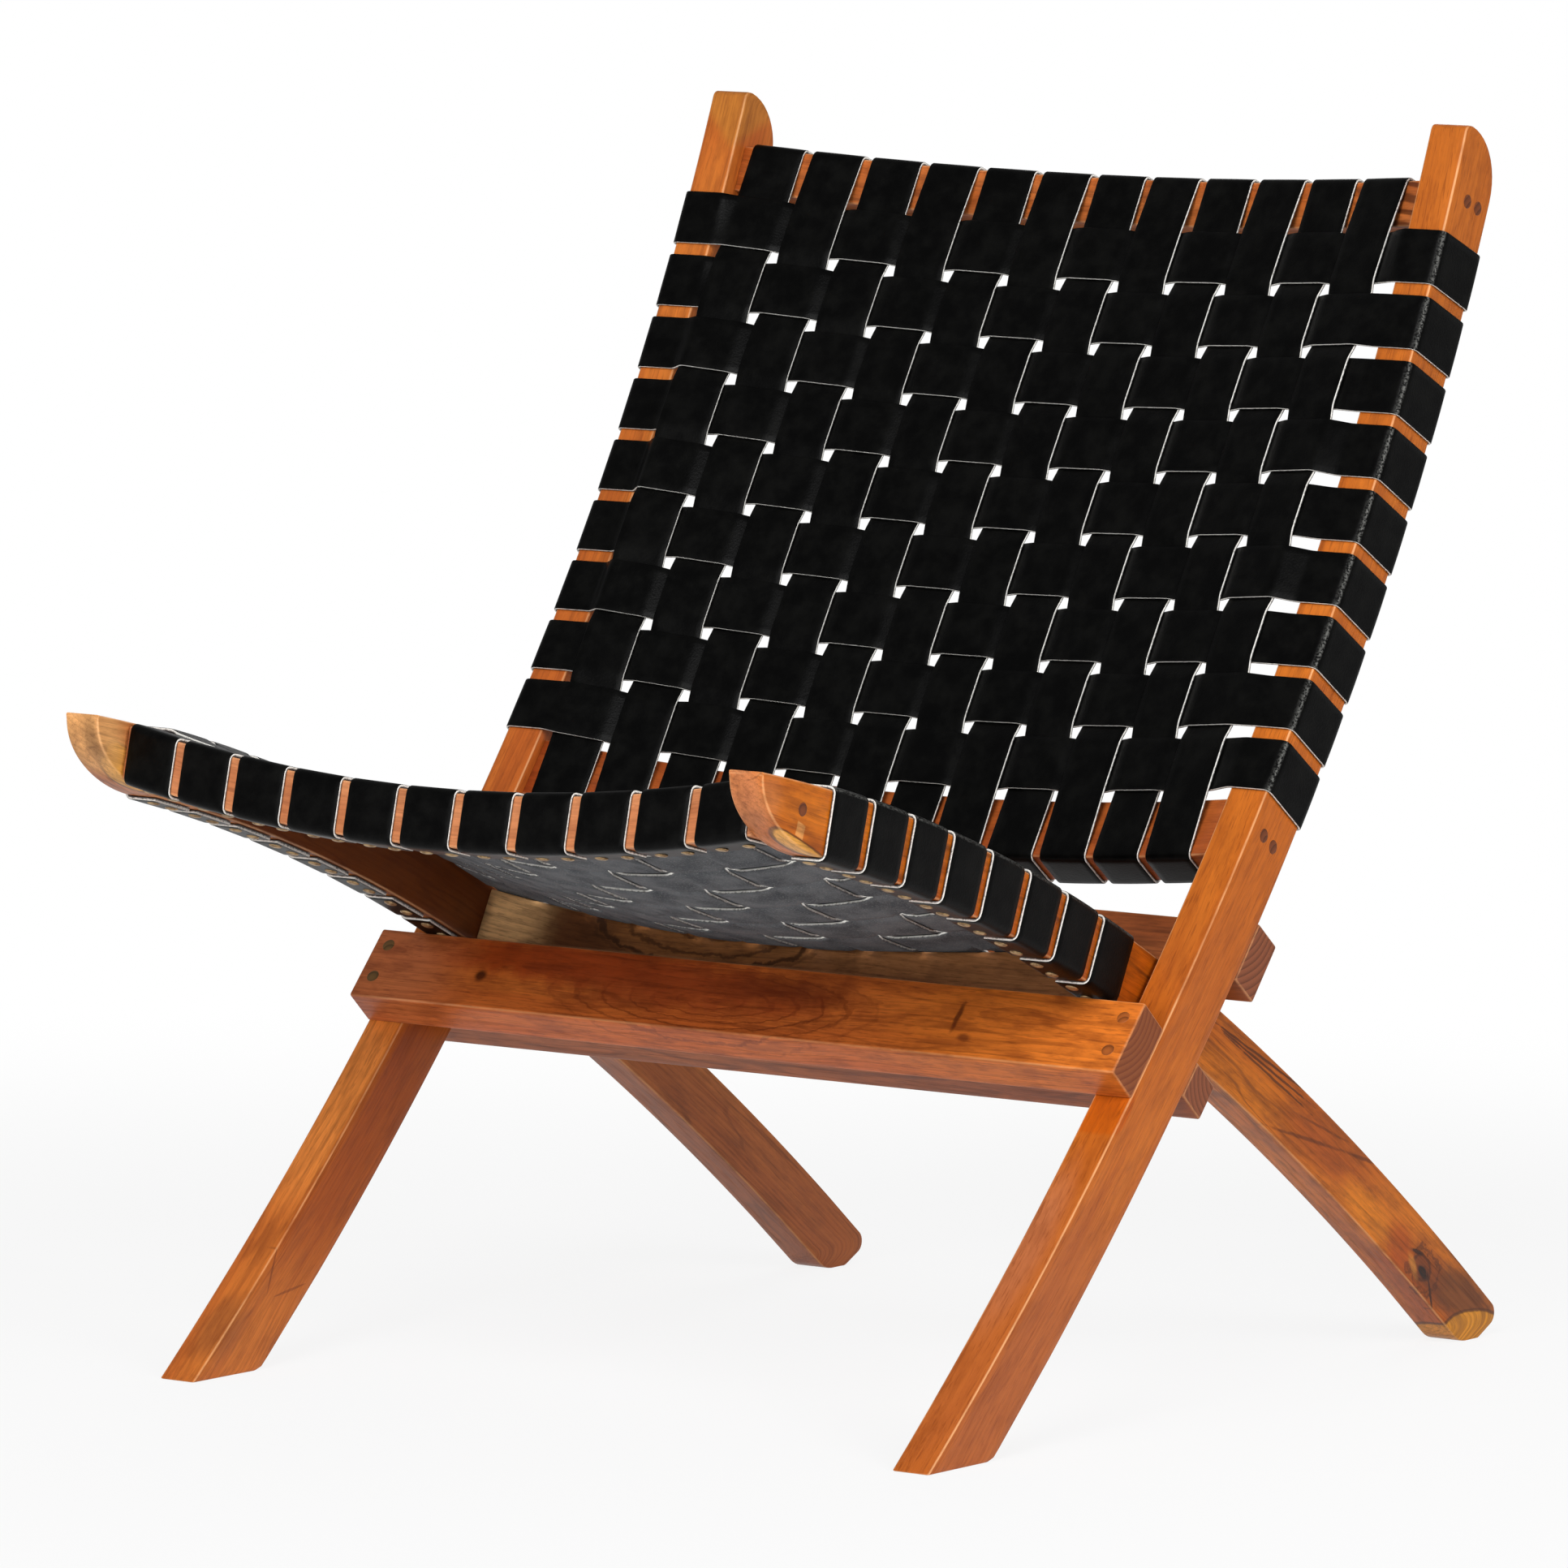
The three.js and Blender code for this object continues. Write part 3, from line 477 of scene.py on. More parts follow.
# A mark's colour inside its limit, ring lines that fade outwards, and a dark line along the limit
def addMark(tree, place, colour, mark, deep):
    found = useGroup(tree, markGroup, {
        "Place": place, "Centre": [v * mm for v in mark["at"]], "Size": [v * mm for v in mark["size"]],
        "Turn": (math.radians(mark["turn"]), 0, 0), "Wobble": mark["wobble"]})
    distance = found["Pointed" if mark["pointed"] else "Round"]
    inside = times(tree, ramp(tree, distance, 1 + mark["soft"], 1 - mark["soft"]), mark["strength"])
    colour = mixColour(tree, inside, colour, mark["colour"])
    if mark["rings"]:
        waves = mathNode(tree, "SINE", times(tree, distance, mark["rings"] * 2 * math.pi))
        lines = ramp(tree, waves, *markLook["ringLimits"])
        fading = times(tree, lines, ramp(tree, distance, *markLook["ringFade"]))
        colour = mixColour(tree, times(tree, fading, markLook["ringShare"]), colour, deep)
    if mark["outline"]:
        away = mathNode(tree, "ABSOLUTE", mathNode(tree, "SUBTRACT", distance, 1.0))
        line = ramp(tree, away, mark["outline"], mark["outline"] * markLook["outlineCore"])
        colour = mixColour(tree, times(tree, line, markLook["outlineShare"]), colour, deep)
    return colour


woodLook = {"zones": (0.34, 0.66), "pores": 0.3, "endRings": 0.8, "edgeBreak": 0.6, "rough": 0.36,
            "roughSpread": 0.15, "gloss": 0.2, "bump": 0.2, "bumpDepth": 0.0003}


# Oiled wood: body and pale colour in broad zones with the piece's own marks, some of them painted shade and
# highlights, deepened by the grain; end grain shows its rings, and eased edges are rubbed pale, partly real
# wear, partly a painted highlight
def makeWood(name, finish):
    material, tree, shader = startMaterial(name)
    deep = finish["deep"]
    plank = attribute(tree, "plank")["Vector"]
    grain = useGroup(tree, grainGroup, {"Plank": plank, "Wander": finish["wander"]})
    colour = mixColour(tree, ramp(tree, grain["Zones"], *woodLook["zones"]), finish["body"], finish["pale"])
    place = objectPlace(tree)
    for mark in finish["marks"]:
        colour = addMark(tree, place, colour, mark, deep)
    shares = {label: finish[label.lower()] for label in ("Rings", "Veins", "Streaks", "Dashes", "Mottle")}
    shares["Pores"] = woodLook["pores"]
    for label, share in shares.items():
        colour = mixColour(tree, times(tree, grain[label], share), colour, deep)
    endColour = mixColour(tree, times(tree, grain["Rings"], woodLook["endRings"]), finish["end"], deep)
    colour = mixColour(tree, attribute(tree, "endGrain")["Fac"], colour, endColour)
    # the pale edge line, partly real wear and partly a painted highlight, broken up by the mottle
    broken = mathNode(tree, "SUBTRACT", 1.0, times(tree, grain["Mottle"], woodLook["edgeBreak"]))
    rubbedHighlight = times(tree, times(tree, attribute(tree, "wearHighlight")["Fac"], finish["edge"]), broken)
    fillInputs(tree, shader, {
        "Base Color": mixColour(tree, rubbedHighlight, colour, edgeWearHighlightTone),
        "Roughness": scaled(tree, grain["Streaks"], woodLook["roughSpread"], woodLook["rough"]),
        "Specular IOR Level": woodLook["gloss"]})
    addBump(tree, shader, grain["Height"], woodLook["bump"], woodLook["bumpDepth"])
    return material


wood = {name: makeWood(name, finish) for name, finish in woodFinishes.items()}
print("wood finishes made")

# Leather: fine pebbled grain on the face, fuzzy suede on the flesh side and pale raw fibre on the cut edges.
# Each noise is given as cells for each metre, detail and roughness.
leatherFace = {"dark": tone(3, 3, 3), "worn": tone(11, 11, 10), "rubbedHighlight": tone(132, 132, 128),
               "pebble": 700.0, "patch": (60.0, 4.0, 0.6), "speck": (700.0, 2.0, 0.6),
               "wornLimits": (0.35, 0.75), "rubHighlightLimits": (0.42, 0.58), "rough": 0.26, "roughSpread": 0.2,
               "patchHeight": 0.8, "bump": 0.4, "bumpDepth": 0.00016, "gloss": 0.07}
leatherFlesh = {"dark": tone(72, 75, 79), "light": tone(104, 106, 109), "nap": tone(136, 137, 137),
                "fuzz": (900.0, 3.0, 0.7), "patch": (45.0, 3.0, 0.55), "lightLimits": (0.3, 0.7),
                "napLimits": (0.5, 0.75), "rough": 0.95, "bump": 0.5, "bumpDepth": 0.0003, "gloss": 0.2}
leatherCut = {"fibre": tone(232, 230, 224), "shade": tone(186, 182, 174), "fleshHalfGrey": tone(84, 83, 82),
              "fuzz": (500.0, 3.0, 0.65), "fibreLimits": (0.3, 0.5), "fleshHalfGreyLimits": (1.1, 0.6),
              "rough": 0.9, "bump": 0.3, "bumpDepth": 0.0002}


def makeLeatherFace():
    material, tree, shader = startMaterial("strapFace")
    look, place = leatherFace, objectPlace(tree)
    pebble = addNode(tree, "ShaderNodeTexVoronoi", {"Vector": place, "Scale": look["pebble"]})
    patch = noise(tree, place, *look["patch"])["Fac"]
    speck = noise(tree, place, *look["speck"])["Fac"]
    colour = mixColour(tree, ramp(tree, patch, *look["wornLimits"]), look["dark"], look["worn"])
    # a pale line along the folds round the rails' outer edges, broken by specks: partly rubbed wear, partly
    # a painted highlight
    rubbedHighlight = times(tree, attribute(tree, "fold")["Fac"], ramp(tree, speck, *look["rubHighlightLimits"]))
    fillInputs(tree, shader, {
        "Base Color": mixColour(tree, rubbedHighlight, colour, look["rubbedHighlight"]),
        "Roughness": scaled(tree, patch, look["roughSpread"], look["rough"]),
        "Specular IOR Level": look["gloss"]})
    height = scaled(tree, patch, look["patchHeight"], pebble.outputs["Distance"])
    addBump(tree, shader, height, look["bump"], look["bumpDepth"])
    return material


def makeLeatherFlesh():
    material, tree, shader = startMaterial("strapFlesh")
    look, place = leatherFlesh, objectPlace(tree)
    nap = noise(tree, place, *look["fuzz"])["Fac"]
    patch = noise(tree, place, *look["patch"])["Fac"]
    colour = mixColour(tree, ramp(tree, patch, *look["lightLimits"]), look["dark"], look["light"])
    fillInputs(tree, shader, {
        "Base Color": mixColour(tree, ramp(tree, nap, *look["napLimits"]), colour, look["nap"]),
        "Roughness": look["rough"],
        "Specular IOR Level": look["gloss"]})
    addBump(tree, shader, nap, look["bump"], look["bumpDepth"])
    return material


def makeLeatherCut():
    material, tree, shader = startMaterial("strapCut")
    look = leatherCut
    fuzz = noise(tree, objectPlace(tree), *look["fuzz"])["Fac"]
    colour = mixColour(tree, ramp(tree, fuzz, *look["fibreLimits"]), look["shade"], look["fibre"])
    fleshSide = mathNode(tree, "ADD", attribute(tree, "skin")["Fac"], fuzz)
    fillInputs(tree, shader, {
        # the flesh-side half of each cut edge is greyer than the face-side half
        "Base Color": mixColour(tree, ramp(tree, fleshSide, *look["fleshHalfGreyLimits"]), colour, look["fleshHalfGrey"]),
        "Roughness": look["rough"]})
    addBump(tree, shader, fuzz, look["bump"], look["bumpDepth"])
    return material


leather = [makeLeatherFace(), makeLeatherCut(), makeLeatherFlesh()]
bronzeHead = {"bright": tone(176, 146, 104), "dull": tone(120, 92, 60), "patch": (260.0, 3.0, 0.6),
              "dullLimits": (0.4, 0.65), "rough": 0.3, "roughSpread": 0.3, "metal": 0.6}


# Bronzed tack heads: soft tan metal, dulled in small patches
def makeBronze():
    material, tree, shader = startMaterial("tackBronze")
    look = bronzeHead
    patch = noise(tree, objectPlace(tree), *look["patch"])["Fac"]
    fillInputs(tree, shader, {
        "Base Color": mixColour(tree, ramp(tree, patch, *look["dullLimits"]), look["bright"], look["dull"]),
        "Roughness": scaled(tree, patch, look["roughSpread"], look["rough"]),
        "Metallic": look["metal"]})
    return material


bronze = makeBronze()
print("leather and tack finishes made")

# Timbers

timberSection = {"flatSteps": 4, "sideSteps": 8, "roundSteps": 4, "ease": 1.5, "cornerShare": 0.42,
                 "farWearHighlight": 0.4, "endWearHighlight": 3}


# One loop round a rounded rectangle, in shares: where on the flats a point sits, and its direction from the
# corner's centre, so that one loop fits every width, depth and rounding along a timber. The last column is
# the pale edge line, partly real wear and partly a painted highlight: full in the middle of the near corners
# and in a share on the far ones.
def sectionLoop(farWearHighlight):
    quarter = np.linspace(0, math.pi / 2, timberSection["roundSteps"] + 1)
    flat = np.linspace(-1, 1, timberSection["flatSteps"] + 1)[1:-1]
    side = np.linspace(0, 1, timberSection["sideSteps"] + 1)[1:-1]
    one, zero = np.ones_like, np.zeros_like
    worn = np.sin(2 * quarter)
    parts = [
        (flat, zero(flat), zero(flat), -one(flat), zero(flat)),
        (one(quarter), zero(quarter), np.sin(quarter), -np.cos(quarter), worn),
        (one(side), side, one(side), zero(side), zero(side)),
        (one(quarter), one(quarter), np.cos(quarter), np.sin(quarter), worn * farWearHighlight),
        (flat[::-1], one(flat), zero(flat), one(flat), zero(flat)),
        (-one(quarter), one(quarter), -np.sin(quarter), np.cos(quarter), worn * farWearHighlight),
        (-one(side), side[::-1], -one(side), zero(side), zero(side)),
        (-one(quarter), zero(quarter), -np.cos(quarter), -np.sin(quarter), worn),
    ]
    return [np.concatenate(column) for column in zip(*parts)]


# Extra stations that ease an open end by a quarter round: how far back each lies and how far it is drawn in
def easedEnd(near, far, inset, ease):
    turn = np.linspace(math.pi / 2, 0, timberSection["roundSteps"] + 1)
    back, drawnIn = ease * (1 - np.sin(turn)), ease * (1 - np.cos(turn))
    eased = []
    for line in (near, far):
        direction = line[1] - line[0]
        direction = direction / np.linalg.norm(direction)
        eased.append(np.concatenate([line[0] + direction * back[:, None], line[1:]]))
    return eased[0], eased[1], np.concatenate([drawnIn, inset[1:]])


# A timber between two edge lines: at each station a rounded rectangle spans from the near edge to the far
# edge, and a width across them. Its plank place is the length run, the depth and the place across, from a
# pith. Open ends are eased; the others meet a rail or close to a line.
def timberPiece(name, near, far, across, width, pith, openEnds, farWearHighlight=1.0):
    ease = timberSection["ease"] * mm
    inset = np.zeros(len(near))
    if openEnds[0]:
        near, far, inset = easedEnd(near, far, inset, ease)
    if openEnds[1]:
        near, far, inset = (line[::-1] for line in easedEnd(near[::-1], far[::-1], inset[::-1], ease))
    span = far - near
    length = np.linalg.norm(span, axis=1)
    room = length - 2 * inset
    corner = np.minimum(ease, timberSection["cornerShare"] * room)[:, None]
    half = (width * mm / 2 - inset)[:, None]
    flatShare, depthShare, roundAcross, roundDepth, wearHighlightLoop = sectionLoop(farWearHighlight)
    x = flatShare * (half - corner) + roundAcross * corner
    deep = inset[:, None] + corner + depthShare * (room[:, None] - 2 * corner) + roundDepth * corner
    direction = (span / length[:, None])[:, None]
    grid = near[:, None] + direction * deep[..., None] + np.asarray(across, float) * x[..., None]
    along = runLengths((near + far) / 2)[:, None]
    plank = np.stack(np.broadcast_arrays(along, deep, x), -1) + np.asarray(pith) * mm
    endShare = (inset / ease)[:, None] + np.zeros_like(deep)
    # the pale edge line, partly real wear and partly a painted highlight, also follows the eased ends and
    # fades out on their end grain
    worn = np.maximum(wearHighlightLoop, timberSection["endWearHighlight"] * endShare) * (1 - endShare)
    return closedTube(name, grid, {"plank": plank, "wearHighlight": worn, "endGrain": endShare})


def finishPiece(piece, body, material, slot, *nodes):
    piece.data.materials.append(material)
    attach(piece, body)
    if nodes:
        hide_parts(*nodes)


# Points on an arc that rounds the corner between two straight edges, from the first edge to the second
def roundCorner(before, corner, after, radius, steps):
    back, ahead = before - corner, after - corner
    back, ahead = back / np.linalg.norm(back), ahead / np.linalg.norm(ahead)
    halfAngle = math.acos(np.clip(back @ ahead, -1, 1)) / 2
    bisector = (back + ahead) / np.linalg.norm(back + ahead)
    centre = corner + bisector * radius / math.sin(halfAngle)
    start = corner + back * radius / math.tan(halfAngle) - centre
    end = corner + ahead * radius / math.tan(halfAngle) - centre
    sweep = math.acos(np.clip(start @ end / (radius * radius), -1, 1))
    share = np.linspace(0, 1, steps)[:, None]
    return centre + (np.sin((1 - share) * sweep) * start + np.sin(share * sweep) * end) / math.sin(sweep)


backRail = {"outer": 310, "width": 28.6, "depth": 47.4, "topRounding": 39, "topCorner": 5, "topLanding": 0.6,
            "heelRounding": 15, "heelRun": 60, "footRun": 70, "stations": 110, "endSteps": 12,
            "pith": {"left": (0, 85, 40), "right": (1700, -120, 60)}}


# Back rail: near edge up the front face, far edge up the rear face, the top's rear corner in a wide round
def makeBackRail(side, sign):
    rail = backRail
    x = sign * (rail["outer"] - rail["width"] / 2)
    depth, steps = rail["depth"], rail["endSteps"]
    heel = floorDistance(backLine, depth)

    def at(distance, deep):
        return railPoint(backLine, distance, x, deep)

    heelArc = roundCorner(at(0, 0), at(heel, depth), at(heel + rail["heelRun"], depth),
                          rail["heelRounding"] * mm, steps)
    nearFoot = at(np.linspace(0, rail["footRun"], steps), 0)
    start = heel + rail["heelRounding"] + rail["footRun"]
    farFoot = evenly(np.concatenate([heelArc, at(start, depth)[None]]), steps)
    wide, small = rail["topRounding"], rail["topCorner"]
    end = backLength - wide
    nearBody = at(np.linspace(rail["footRun"], end, rail["stations"]), 0)[1:]
    farBody = at(np.linspace(start, end, rail["stations"]), depth)[1:]
    turn = np.linspace(0, math.pi / 2, steps)[1:]
    farTop = at(end + wide * np.sin(turn), depth - wide + wide * np.cos(turn))
    straight = np.linspace(end, backLength - small, steps // 2)[1:]
    tight = np.linspace(0, math.pi / 2, steps - len(straight) - 1)[1:]
    nearTop = np.concatenate([
        at(straight, 0),
        at(backLength - small + small * np.sin(tight), small - small * np.cos(tight)),
        at(backLength, small + rail["topLanding"])[None],
    ])
    near = np.concatenate([nearFoot, nearBody, nearTop])
    far = np.concatenate([farFoot, farBody, farTop])
    piece = timberPiece(f"backRail_{side}", near, far, (1, 0, 0), rail["width"], rail["pith"][side],
                        (True, False), timberSection["farWearHighlight"])
    finishPiece(piece, "back_frame", wood[f"backRail{side.title()}"], "oiled_wood", f"back_rail_{side}")


seatRail = {"outer": 277.3, "width": 26.4, "depth": 43.4, "nose": 76, "noseTip": 0.06, "heelRounding": 36,
            "heelRun": 80, "heelShare": 0.94, "tipRounding": 8, "tipCut": 22, "tipLanding": 45,
            "footRun": 60, "stations": 110, "endSteps": 16,
            "pith": {"left": (3300, 70, -55), "right": (5200, -95, 45)}}


# Seat rail: near edge along the top face, far edge along the underside, which rises to the nose
# in a quarter ellipse
def makeSeatRail(side, sign):
    rail = seatRail
    x = sign * (rail["outer"] - rail["width"] / 2)
    depth, steps = rail["depth"], rail["endSteps"]
    heel = floorDistance(seatLine, depth)

    def at(distance, deep):
        return railPoint(seatLine, distance, x, deep)

    landing = np.array([x * mm, footY + (stance - rail["tipLanding"]) * mm, 0])
    tip, heelCorner = at(rail["tipCut"], 0), at(heel, depth)
    lowArc = roundCorner(heelCorner, landing, tip, rail["tipRounding"] * mm, steps)
    highArc = roundCorner(landing, tip, at(rail["footRun"], 0), rail["tipRounding"] * mm, steps)
    run = rail["tipCut"] + rail["footRun"]
    nearFoot = evenly(np.concatenate([lowArc, highArc, at(run, 0)[None]]), 3 * steps)
    heelRoom = rail["heelShare"] * np.linalg.norm(landing - heelCorner)
    rounding = min(rail["heelRounding"] * mm, heelRoom)
    heelArc = roundCorner(landing, heelCorner, at(heel + rail["heelRun"], depth), rounding, steps)
    start = heel + rail["heelRounding"] + rail["footRun"] / 2
    farFoot = evenly(np.concatenate([heelArc, at(start, depth)[None]]), 3 * steps)
    noseStart = seatLength - rail["nose"]
    nearBody = at(np.linspace(run, noseStart, rail["stations"]), 0)[1:]
    farBody = at(np.linspace(start, noseStart, rail["stations"]), depth)[1:]
    turn = np.linspace(math.pi / 2, rail["noseTip"], 2 * steps)[1:]
    farNose = at(noseStart + rail["nose"] * np.cos(turn), depth * np.sin(turn))
    nearNose = at(noseStart + rail["nose"] * np.linspace(0, 1, 2 * steps)[1:], 0)
    near = np.concatenate([nearFoot, nearBody, nearNose])
    far = np.concatenate([farFoot, farBody, farNose])
    piece = timberPiece(f"seatRail_{side}", near, far, (1, 0, 0), rail["width"], rail["pith"][side],
                        (True, False))
    finishPiece(piece, "seat_frame", wood[f"seatRail{side.title()}"], "oiled_wood", f"seat_rail_{side}")


for side, sign in (("left", -1), ("right", 1)):
    makeBackRail(side, sign)
    makeSeatRail(side, sign)
print("rails made")

# Cross rails, each given by its place along a rail line: near edge, far edge, height and bow
backInner = backRail["outer"] - backRail["width"]
seatInner = seatRail["outer"] - seatRail["width"]
crossBars = {
    "backTopRail": {"line": backLine, "middle": 996.4, "half": backInner, "near": 12, "thick": 30,
                    "bow": 30, "height": 33, "body": "back_frame", "node": "back_top_rail",
                    "finish": "topRail", "pith": (7100, 60, 30)},
    "backBottomRail": {"line": backLine, "middle": 533.4, "half": backInner, "near": 7, "thick": 30,
                       "bow": 30, "height": 44, "body": "back_frame", "node": "back_bottom_rail",
                       "finish": "bottomRail", "pith": (8300, -70, 45)},
    "seatFrontRail": {"line": seatLine, "middle": 969.5, "half": seatInner, "near": 2.5, "thick": 35,
                      "bow": 25, "height": 27, "body": "seat_frame", "node": "seat_front_rail",
                      "finish": "frontRail", "pith": (9700, 50, 60)},
    "seatRearRail": {"line": seatLine, "middle": 548.5, "half": seatInner, "near": 2.5, "foot": 39.4,
                     "bow": 19, "height": 27, "body": "seat_frame", "node": "seat_rear_rail",
                     "finish": "rearRail", "pith": (11000, 30, -14)},
}
jointGap = 0.4  # between a cross rail's end and the rail that it meets
crossStations = 61
beamStations = 41


# Points straight across the chair: a run up from one distance along a rail line and a depth below its face
def barPoints(line, middle, x, depth, run=0):
    place, climb, inward = railFrame(line, middle)
    point = place + climb * run * mm + inward * np.asarray(depth, float)[..., None] * mm
    point[..., 0] = np.asarray(x, float) * mm
    return point


# A timber straight across the chair, between two depths
def makeBar(name, bar, line, body, x, depths, openEnds):
    near, far = (barPoints(line, bar["middle"], x, depth) for depth in depths)
    climb = railFrame(line, bar["middle"])[1]
    piece = timberPiece(name, near, far, -climb, bar["height"], bar["pith"], openEnds)
    finishPiece(piece, body, wood[bar["finish"]], "oiled_wood", bar["node"])


# Cross rail with a bowed near edge, and a far edge that is bowed too or straight at a foot depth
def makeCrossBar(name, bar):
    reach = bar["half"] - jointGap
    x = np.linspace(-reach, reach, crossStations)
    near = bar["near"] + bowAt(x, bar["half"], bar["bow"])
    far = np.full_like(x, bar["foot"]) if "foot" in bar else near + bar["thick"]
    makeBar(name, bar, bar["line"], bar["body"], x, (near, far), (False, False))


for name, bar in crossBars.items():
    makeCrossBar(name, bar)

# Beams straight across the faces of the back rails: their middles are read from the solids
beams = {
    "frontBeam": {"node": "front_beam", "near": -29.7, "thick": 29.3, "height": 56, "finish": "frontBeam",
                  "pith": (12500, 22, 10)},
    "rearBeamUpper": {"node": "rear_beam_upper", "near": 47.8, "thick": 27.6, "height": 44.5,
                      "finish": "rearBeam", "pith": (14000, 34, 22)},
    "rearBeamLower": {"node": "rear_beam_lower", "near": 47.8, "thick": 27.6, "height": 26.7,
                      "finish": "rearBeam", "pith": (15500, -30, 24)},
}


# The distance along a rail line at which a point lies, by stepping along the climb direction
def distanceOf(line, point, start=300.0, rounds=30):
    distance = start
    for step in range(rounds):
        place, climb, inward = railFrame(line, distance)
        distance += float((point - place) @ climb) / mm
    return distance


def makeBeam(name, beam):
    low, high = (np.array(corner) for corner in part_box(beam["node"]))
    beam["middle"] = distanceOf(backLine, (low + high) / 2 * np.array([0, 1, 1]))
    half = high[0] / mm
    x = np.linspace(-half, half, beamStations)
    near = np.full_like(x, beam["near"])
    makeBar(name, beam, backLine, "back_frame", x, (near, near + beam["thick"]), (True, True))


for name, beam in beams.items():
    makeBeam(name, beam)
print("cross rails and beams made", {name: round(beam["middle"], 1) for name, beam in beams.items()})

# Straps

strap = {"width": 38, "thick": 2.5, "gap": 0.4, "lift": 1.65, "crown": 0.12, "step": 1.6, "soften": 3.2,
         "round": 0.45, "roundDrop": 0.6, "tail": 14, "flatPoints": 9, "foldWidth": 0.7, "hold": 17.0,
         "railStart": -1, "railRest": 6}
rise = strap["gap"] + strap["thick"] / 2  # from a timber face to the middle of the strap on it
turnIn = 0.6  # from a timber's edge to where the strap leaves the face
endMargin = 3  # from a strap's end to the edge of the face that it lies on


# Loop of a strap's section: place across and height, over the crowned face and back underneath
def strapLoop():
    half, top, soft = strap["width"] / 2, strap["thick"] / 2, strap["round"]
    flat = np.linspace(-half + soft, half - soft, strap["flatPoints"])
    crown = top - strap["crown"] * (flat / half) ** 2
    edge = crown[0] - soft * strap["roundDrop"]
    across = np.concatenate([[-half], flat, [half], [half], flat[::-1], [-half]])
    height = np.concatenate([[edge], crown, [edge], [-edge], np.full_like(flat, -top), [-edge]])
    return across, height


strapAcross, strapHeight = strapLoop()


# A path softened by averaging each station with its neighbours, ends carried on straight
def soften(path, reach):
    weights = np.hanning(2 * reach + 3)[1:-1]
    before = 2 * path[:1] - path[reach:0:-1]
    after = 2 * path[-1:] - path[-2:-reach - 2:-1]
    padded = np.concatenate([before, path, after])
    shifted = (weight * padded[shift:shift + len(path)] for shift, weight in enumerate(weights))
    return sum(shifted) / weights.sum()


# A strap along control stations. Each station gives a point for every place across the strap; the path is
# cut into even steps and softened, and the section stands on the path's own normals. Folds lie between two
# stations.
def strapPiece(name, body, stations, outward, folds, node):
    columns = len(strapAcross)
    lengths = runLengths(stations[:, columns // 4])
    wanted = np.linspace(0, lengths[-1], int(lengths[-1] / (strap["step"] * mm)))
    path = soften(pickAlong(stations, lengths, wanted), int(round(strap["soften"] / strap["step"])))
    tangent = np.gradient(path, axis=0)
    sideways = path[:, columns // 2 - 1] - path[:, 0]
    normal = np.cross(tangent, sideways[:, None])
    normal /= np.linalg.norm(normal, axis=2, keepdims=True)
    middle = len(path) // 2
    facing = np.sign(normal[middle, 0] @ outward)
    grid = path + normal * facing * (strapHeight * mm)[None, :, None]
    # fold share: where the face carries the pale fold line, partly rubbed wear and partly a painted
    # highlight
    folded = np.zeros(len(path))
    for first, second in folds:
        spot = (lengths[first] + lengths[second]) / 2
        folded = np.maximum(folded, np.exp(-((wanted - spot) / (strap["foldWidth"] * mm)) ** 2))
    around = strap["flatPoints"] + 1
    finish = np.array([0] * around + [1] + [2] * around + [1])
    if facing > 0:
        grid = grid[:, ::-1]
        finish = np.roll(finish[::-1], -1)
    skin = np.broadcast_to(strapHeight > 0, (len(path), columns))
    skin = skin[:, ::-1] if facing > 0 else skin
    piece = closedTube(name, grid, {"fold": np.repeat(folded[:, None], columns, 1), "skin": skin})
    for material in leather[:-1]:
        piece.data.materials.append(material)
    finishPiece(piece, body, leather[-1], "strap_leather", node)
    perFace = np.concatenate([np.tile(finish, len(path) - 1), [1, 1]])
    piece.data.polygons.foreach_set("material_index", perFace.astype(np.int32))


backTop, backBottom = crossBars["backTopRail"], crossBars["backBottomRail"]
seatFront, seatRear = crossBars["seatFrontRail"], crossBars["seatRearRail"]
seatSag = 22  # of the seat panel halfway between its cross rails


# The back panel's middle surface runs straight from the top of the top rail to the foot of the bottom rail
def backSurface(x, along):
    x, along = np.broadcast_arrays(np.asarray(x, float), np.asarray(along, float))
    hollow = bowAt(x, backInner, backTop["bow"])
    corners = []
    for bar, end in ((backBottom, -1), (backTop, 1)):
        depth = bar["near"] - rise + hollow
        corners.append(barPoints(bar["line"], bar["middle"], x, depth, end * bar["height"] / 2))
    low = backBottom["middle"] - backBottom["height"] / 2
    high = backTop["middle"] + backTop["height"] / 2
    share = ((along - low) / (high - low))[..., None]
    return corners[0] * (1 - share) + corners[1] * share


# The seat panel hangs between its bowed cross rails and sags in a parabola from front to back
def seatSurface(x, along):
    share = (seatFront["middle"] - np.asarray(along, float)) / (seatFront["middle"] - seatRear["middle"])
    bow = seatFront["bow"] * (1 - share) + seatRear["bow"] * share + seatSag * 4 * share * (1 - share)
    return railPoint(seatLine, along, x, seatFront["near"] - rise + bowAt(x, seatInner, bow))


# Even places for straps between two limits
def strapPlaces(start, end, count):
    return np.linspace(start + strap["width"] / 2, end - strap["width"] / 2, count)


